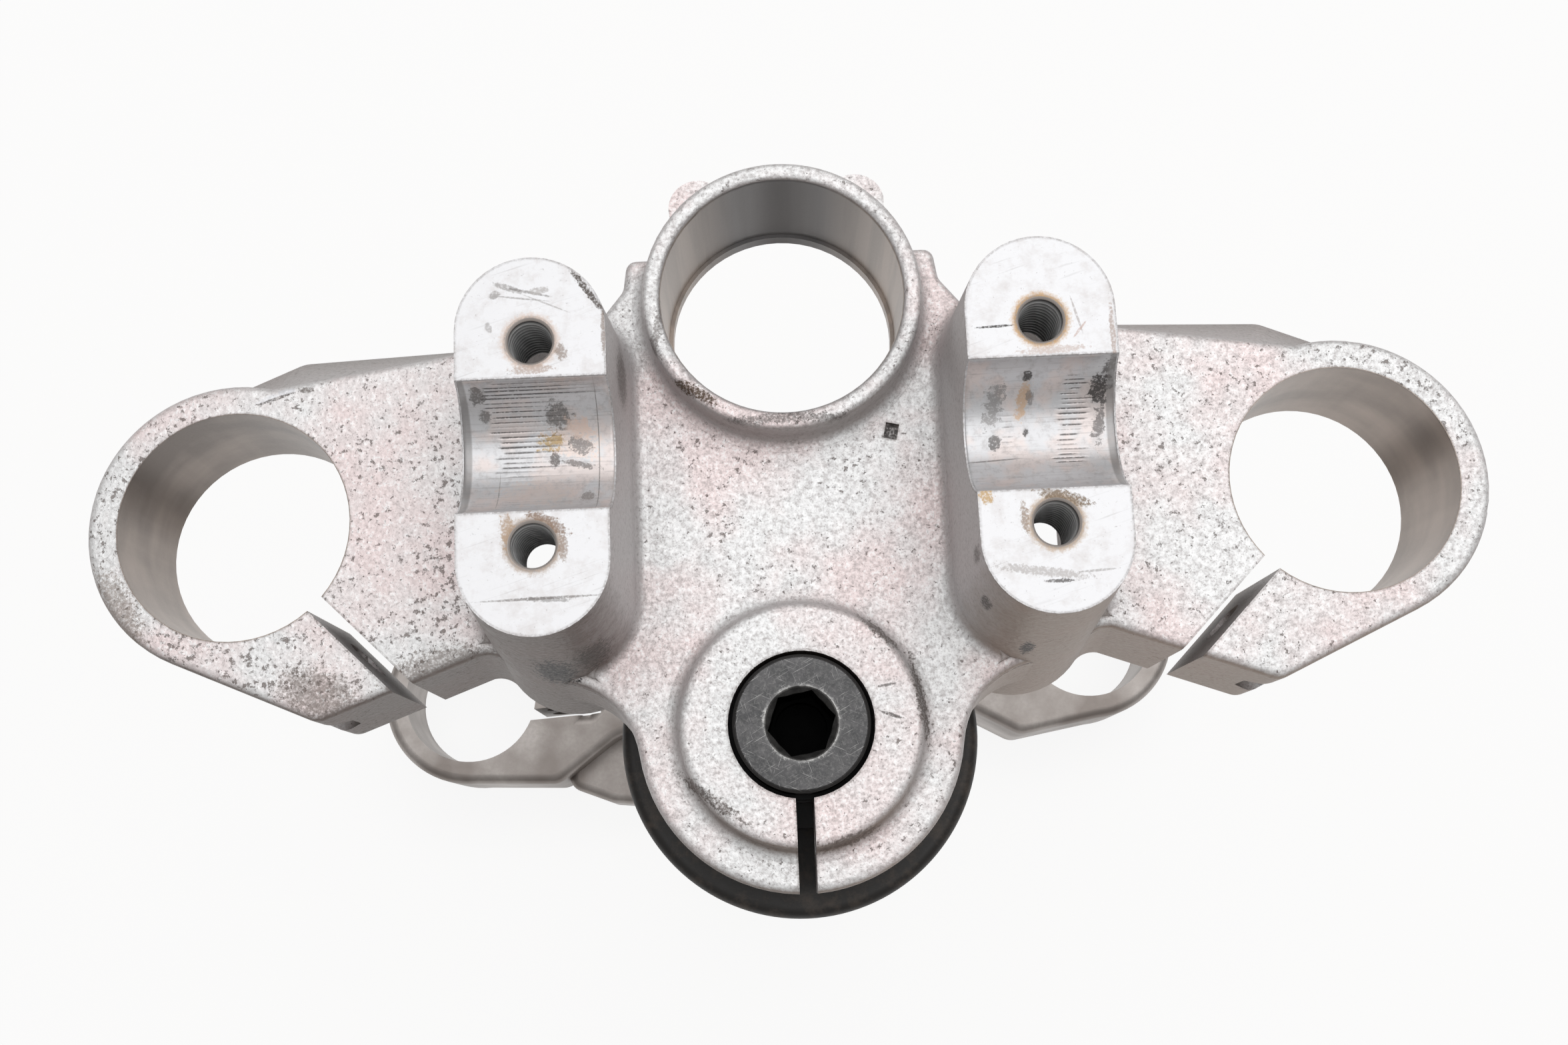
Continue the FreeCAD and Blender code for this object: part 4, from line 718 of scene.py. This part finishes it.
def skin_grid(name, points, values, channel, capped, material):
    """Closed mesh of a grid of points with shape (rows, columns, 3). Each square of four
    neighbours is a face and the columns join up. The rows join up too, or else the first and the
    last row are each closed by one face. The faces are turned round if they enclose a negative
    volume, the sum of the triple products of their corners. The values, one for each point, are
    kept as an attribute for the material."""
    rows, columns = points.shape[:2]
    index = np.arange(rows * columns).reshape(rows, columns)
    here, ahead = (index[:-1], index[1:]) if capped else (index, np.roll(index, -1, 0))
    faces = np.stack([here, ahead, np.roll(ahead, -1, 1), np.roll(here, -1, 1)], -1).reshape(-1, 4)
    flat = points.reshape(-1, 3)
    first, second, third, fourth = flat[faces].transpose(1, 0, 2)
    volume = (np.cross(second, third) * first).sum() + (np.cross(third, fourth) * first).sum()
    faces = faces.tolist()
    if capped:
        faces += [index[0].tolist(), index[-1][::-1].tolist()]
    if volume < 0:
        faces = [face[::-1] for face in faces]
    mesh = bpy.data.meshes.new(name)
    mesh.from_pydata(flat.tolist(), [], faces)
    mesh.polygons.foreach_set("use_smooth", np.ones(len(faces), bool))
    kept = mesh.attributes.new(channel, "FLOAT", "POINT")
    kept.data.foreach_set("value", values.astype(np.float32).ravel())
    mesh.materials.append(material)
    piece = bpy.data.objects.new(name, mesh)
    bpy.context.scene.collection.objects.link(piece)
    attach(piece, BODY)
    return piece


def thread_skin(name, x, y, material):
    """Thread of one pad hole. The radius is the root's less a triangle wave of the depth over the
    pitch plus the turn over a full turn, which makes a right-hand helix. The wave fades in below
    the mouth, where a narrow burr leans in, and out at the foot. A plain wall inside the metal
    closes the sleeve."""
    look = bpy.context.scene.clamp_risers
    pitch, length = look.pitch / MM, look.length / MM
    around = np.linspace(0, 2 * np.pi, SLEEVE_SIDES, endpoint=False)
    down = np.linspace(0, length, int(length / pitch * ROWS_PER_TURN))
    angle, drop = np.meshgrid(around, down, indexing="ij")
    wave = 1 - np.abs(2 * ((drop / pitch + angle / (2 * np.pi)) % 1) - 1)
    fade = np.clip((drop - THREAD_START) / THREAD_RUN_IN, 0, 1)
    fade *= np.clip((length - drop) / THREAD_RUN_OUT, 0, 1)
    tooth = (RISER_HOLE_R - look.crest / MM) * fade * np.clip(1.25 * wave - 0.1, 0, 1)
    burr = np.interp(drop, BURR_DROPS, (0, BURR_REACH, 0))
    radius = RISER_HOLE_R - SLEEVE_GAP - np.maximum(tooth, burr)
    radius = np.concatenate([radius, np.full((SLEEVE_SIDES, 2), RISER_HOLE_R + SLEEVE_BACK)], 1)
    ends = np.tile((length, 0.0), (SLEEVE_SIDES, 1))
    drop = np.concatenate([drop, ends], 1)
    # Share of the painted highlight, full at the crests
    crest = np.concatenate([fade * wave ** 3, np.zeros_like(ends)], 1)
    angle = np.repeat(angle[:, :1], radius.shape[1], 1)
    points = np.stack([x + radius * np.cos(angle), y + radius * np.sin(angle),
                       DECK / MM + RISER_TOP - SLEEVE_DROP - drop], -1) * MM
    return skin_grid(name, points, crest, "crest", False, material)


def band_of(across, start, stop, run_in, run_out):
    """How full a cut is along x, from 0 before its start to 1 and back to 0 at its stop."""
    return np.clip((across - start) / run_in, 0, 1) * np.clip((stop - across) / run_out, 0, 1)


def saddle_skin(name, side, seed, material):
    """Face of one saddle with the knurl's cuts. The surface lies a hair inside the bar's radius. It
    sinks by the bite where a narrow bell of the arc over the knurl spacing meets the band of x in
    which that cut runs, and its borders sink into the metal. Each cut starts and ends at its own
    seeded place. A plain arc inside the metal closes it."""
    look = bpy.context.scene.clamp_risers
    spacing, bite = look.knurl / MM, look.bite / MM
    half_turn = math.acos((BAR_Z - RISER_TOP) / BAR_R) - SADDLE_END_GAP
    share, angle = np.meshgrid(np.linspace(-1, 1, SADDLE_ACROSS),
                               np.linspace(-half_turn, half_turn, SADDLE_ALONG), indexing="ij")
    width = RISER_TOP_R + RISER_LEAN * (RISER_TOP - BAR_Z + BAR_R * np.cos(angle)) - SADDLE_SIDE_GAP
    across = side * RISER_X + share * width
    arc = angle * BAR_R
    count = np.rint(arc / spacing).astype(int)
    jitter = np.random.default_rng(seed).normal(0, 1, (4, 64))[:, count + 32]
    bell = np.exp(-((arc / spacing - count - KNURL_WANDER * jitter[3]) / KNURL_SHARPNESS) ** 2)
    if side < 0:
        band = band_of(across, -49.6 + 0.20 * np.clip(9 - arc, 0, 30) + 0.7 * jitter[0],
                       -34.5 + 0.8 * np.clip(arc - 6, 0, 6) + 2.6 * jitter[1], 0.8, 12.0)
        band *= np.clip((arc + 5.5) / 4, 0.3, 1) * np.clip((15 - arc) / 2, 0, 1)
    else:
        lean = 0.16 * np.clip(arc, -9, 9)
        band = band_of(across, 43.6 + lean + 0.5 * jitter[0], 48.6 + lean + 0.8 * jitter[1], 0.6, 1.0)
        band *= band_of(arc, -7.5, 12, 3, 3)
        faint = band_of(across, 34.3 + 0.3 * jitter[0], 37.2, 0.5, 0.8) * band_of(arc, -4, 5, 2, 3)
        band = np.maximum(band, 0.5 * faint)
    cut = bell * band * np.clip(0.85 + 0.22 * jitter[2], 0.35, 1.1)
    border = np.minimum(np.clip((1 - np.abs(share)) * 30, 0, 1),
                        np.clip((half_turn - np.abs(angle)) * 50, 0, 1))
    lifted = (SADDLE_PROUD + SADDLE_RIM_SUNK) * border

    def on_arc(radius):
        """Points at a radius about the bar's axis."""
        return np.stack([across, BAR_Y + radius * np.sin(angle),
                         DECK / MM + BAR_Z - radius * np.cos(angle)], -1)

    face = on_arc(BAR_R + SADDLE_RIM_SUNK - (lifted - bite * cut))
    back = on_arc(BAR_R + SADDLE_BACK)[:, ::-24]
    points = np.concatenate([face, back], 1) * MM
    cut = np.concatenate([cut, np.zeros(back.shape[:2])], 1)
    return skin_grid(name, points, cut, "bite", True, material)


class CLAMP_OT_upper(bpy.types.Operator):
    """Finish the upper clamp as a silver painted casting with machined faces"""
    bl_idname = "clamp.upper_clamp"
    bl_label = "Upper clamp"

    def execute(self, context):
        dress(["upper_clamp"], silver_cast())
        return {"FINISHED"}


class CLAMP_OT_risers(bpy.types.Operator):
    """Cut the threads of the pad holes and print the knurl of the bar into the saddles"""
    bl_idname = "clamp.risers"
    bl_label = "Riser threads and saddles"

    def execute(self, context):
        thread, saddle = cut_thread(), printed_saddle()
        for side, word in ((-1, "left"), (1, "right")):
            for y, end in zip(RISER_HOLES_Y, ("rear", "front")):
                thread_skin(f"riser_thread_{word}_{end}", side * RISER_X, y, thread)
            saddle_skin(f"saddle_face_{word}", side, 5 + side, saddle)
        return {"FINISHED"}


class CLAMP_OT_lower(bpy.types.Operator):
    """Finish the lower clamp as a smooth satin casting"""
    bl_idname = "clamp.lower_clamp"
    bl_label = "Lower clamp"

    def execute(self, context):
        dress(["lower_clamp"], satin_cast())
        return {"FINISHED"}


class CLAMP_OT_stem(bpy.types.Operator):
    """Finish the stem, its cap bolt, the adjuster nut and the dust cap"""
    bl_idname = "clamp.stem_set"
    bl_label = "Stem, bolt, nut and dust cap"

    def execute(self, context):
        look = context.scene.clamp_steel
        dress(["steering_stem"],
              turned_steel("turned_stem_steel", look.steel, linear("6E6E70"), 0.3, 0.5,
                           black_above=STEM_TOP / MM - 4))
        dress(["stem_cap_bolt"], scratched_oxide())
        dress(["bearing_adjuster_nut"],
              worn_enamel("black_oxide_nut", linear("1C1C1C"), linear("2E2B29")))
        dress(["upper_dust_cap"], worn_enamel("black_enamelled_cap", look.enamel, linear("4A413A")))
        return {"FINISHED"}


class CLAMP_OT_bearings(bpy.types.Operator):
    """Finish the two tapered roller bearings and the lower seal"""
    bl_idname = "clamp.bearings"
    bl_label = "Bearings and seal"

    def execute(self, context):
        look = context.scene.clamp_steel
        ground = turned_steel("ground_bearing_steel", look.ground, linear("A3A4A8"), 0.12, 0.24)
        cage = turned_steel("pressed_cage_steel", linear("9C9A94"), linear("7A756C"), 0.35, 0.5)
        dress(["upper_bearing_race", "lower_bearing_race"], ground)
        dress(roller_names("upper_bearing_roller") + roller_names("lower_bearing_roller"), ground)
        dress(["upper_bearing_cage", "lower_bearing_cage"], cage)
        dress(["lower_dust_seal"], worn_enamel("nitrile_seal_rubber", look.rubber, linear("353331")))
        return {"FINISHED"}


class CLAMP_OT_stage(bpy.types.Operator):
    """Set up the pale floor, the soft light and the photograph's camera"""
    bl_idname = "clamp.stage"
    bl_label = "Stage"

    def execute(self, context):
        look = context.scene.clamp_stage
        scene = context.scene
        scene.view_settings.view_transform = "Standard"
        mesh = bpy.data.meshes.new("floor")
        corners = [(FLOOR_HALF * x, FLOOR_HALF * y, 0) for x, y in ((-1, -1), (1, -1), (1, 1), (-1, 1))]
        mesh.from_pydata(corners, [], [(0, 1, 2, 3)])
        floor = bpy.data.objects.new("floor", mesh)
        scene.collection.objects.link(floor)
        floor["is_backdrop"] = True
        material, put = new_material("pale_floor")
        matt = put("BsdfDiffuse", {"Color": rgba(look.floor)})
        white = put("Emission", {"Color": (1, 1, 1, 1), "Strength": 1.0})
        seen = put("LightPath", out="Is Camera Ray")
        rays = seen.node.outputs
        for ray in ("Is Glossy Ray", "Is Transmission Ray"):
            seen = put("Math", {0: seen, 1: rays[ray]}, operation="MAXIMUM")
        share = put("Math", {0: seen, 1: FLOOR_WHITE_SHARE}, operation="MULTIPLY")
        put("OutputMaterial", {"Surface": put("MixShader", {0: share, 1: matt, 2: white})})
        mesh.materials.append(material)

        world = bpy.data.worlds.new("studio")
        world.use_nodes = True
        scene.world = world
        world.node_tree.nodes.clear()
        put = functools.partial(add_node, world.node_tree)
        direction = put("SeparateXYZ", {0: put("TexCoord", out="Generated")})
        rise = put("MapRange", {"Value": direction.node.outputs["Z"], "From Min": -0.1,
                                "From Max": 0.8})
        sky = put("MixRGB", {"Fac": rise, "Color1": tone("8F857D"), "Color2": tone("FFFFFF")})
        room = put("Background", {"Color": sky, "Strength": look.room})
        backdrop = put("Background", {"Color": (1, 1, 1, 1), "Strength": 1.0})
        path = put("LightPath", out="Is Camera Ray")
        put("OutputWorld", {"Surface": put("MixShader", {0: path, 1: room, 2: backdrop})})

        light = bpy.data.lights.new("softbox", "AREA")
        light.shape = "SQUARE"
        light.size = look.softbox_side
        light.energy = look.softbox_power
        lamp = bpy.data.objects.new("softbox", light)
        lamp.location = LAMP_PLACE
        aim = -lamp.location.to_3d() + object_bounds()[1] * 0.5
        lamp.rotation_euler = aim.to_track_quat("-Z", "Y").to_euler()
        scene.collection.objects.link(lamp)

        camera = bpy.data.cameras.new("photo_camera")
        camera.sensor_width = SENSOR_MM
        camera.lens = CAMERA_LENS_MM
        camera.clip_start, camera.clip_end = CLIP_RANGE
        eye = bpy.data.objects.new("photo_camera", camera)
        eye.location = CAMERA_PLACE
        eye.rotation_euler = [math.radians(angle) for angle in CAMERA_TURN_DEG]
        scene.collection.objects.link(eye)
        scene.camera = eye
        return {"FINISHED"}


class CLAMP_PT_panel(bpy.types.Panel):
    """Steps that finish the triple clamp"""
    bl_idname = "CLAMP_PT_panel"
    bl_label = "Triple clamp"
    bl_space_type = "VIEW_3D"
    bl_region_type = "UI"
    bl_category = "Triple clamp"

    def draw(self, context):
        for step in STEPS:
            self.layout.operator(step.bl_idname)
        for name, kind in LOOKS.items():
            box = self.layout.box()
            for key in kind.__annotations__:
                box.prop(getattr(context.scene, name), key)


STEPS = (CLAMP_OT_upper, CLAMP_OT_risers, CLAMP_OT_lower, CLAMP_OT_stem, CLAMP_OT_bearings,
         CLAMP_OT_stage)
LOOKS = {"clamp_cast": CastFinish, "clamp_risers": RiserDetail, "clamp_steel": SteelFinish,
         "clamp_lower": LowerFinish, "clamp_stage": StageLook}


def register():
    """Add the settings, the steps and the panel."""
    for name, kind in LOOKS.items():
        bpy.utils.register_class(kind)
        setattr(bpy.types.Scene, name, bpy.props.PointerProperty(type=kind))
    for kind in (*STEPS, CLAMP_PT_panel):
        bpy.utils.register_class(kind)


def unregister():
    """Take them away again."""
    for kind in (CLAMP_PT_panel, *reversed(STEPS)):
        bpy.utils.unregister_class(kind)
    for name, kind in LOOKS.items():
        delattr(bpy.types.Scene, name)
        bpy.utils.unregister_class(kind)


def main():
    """Run every step."""
    register()
    for step in STEPS:
        group, name = step.bl_idname.split(".")
        getattr(getattr(bpy.ops, group), name)()


if __name__ == "__main__":
    main()
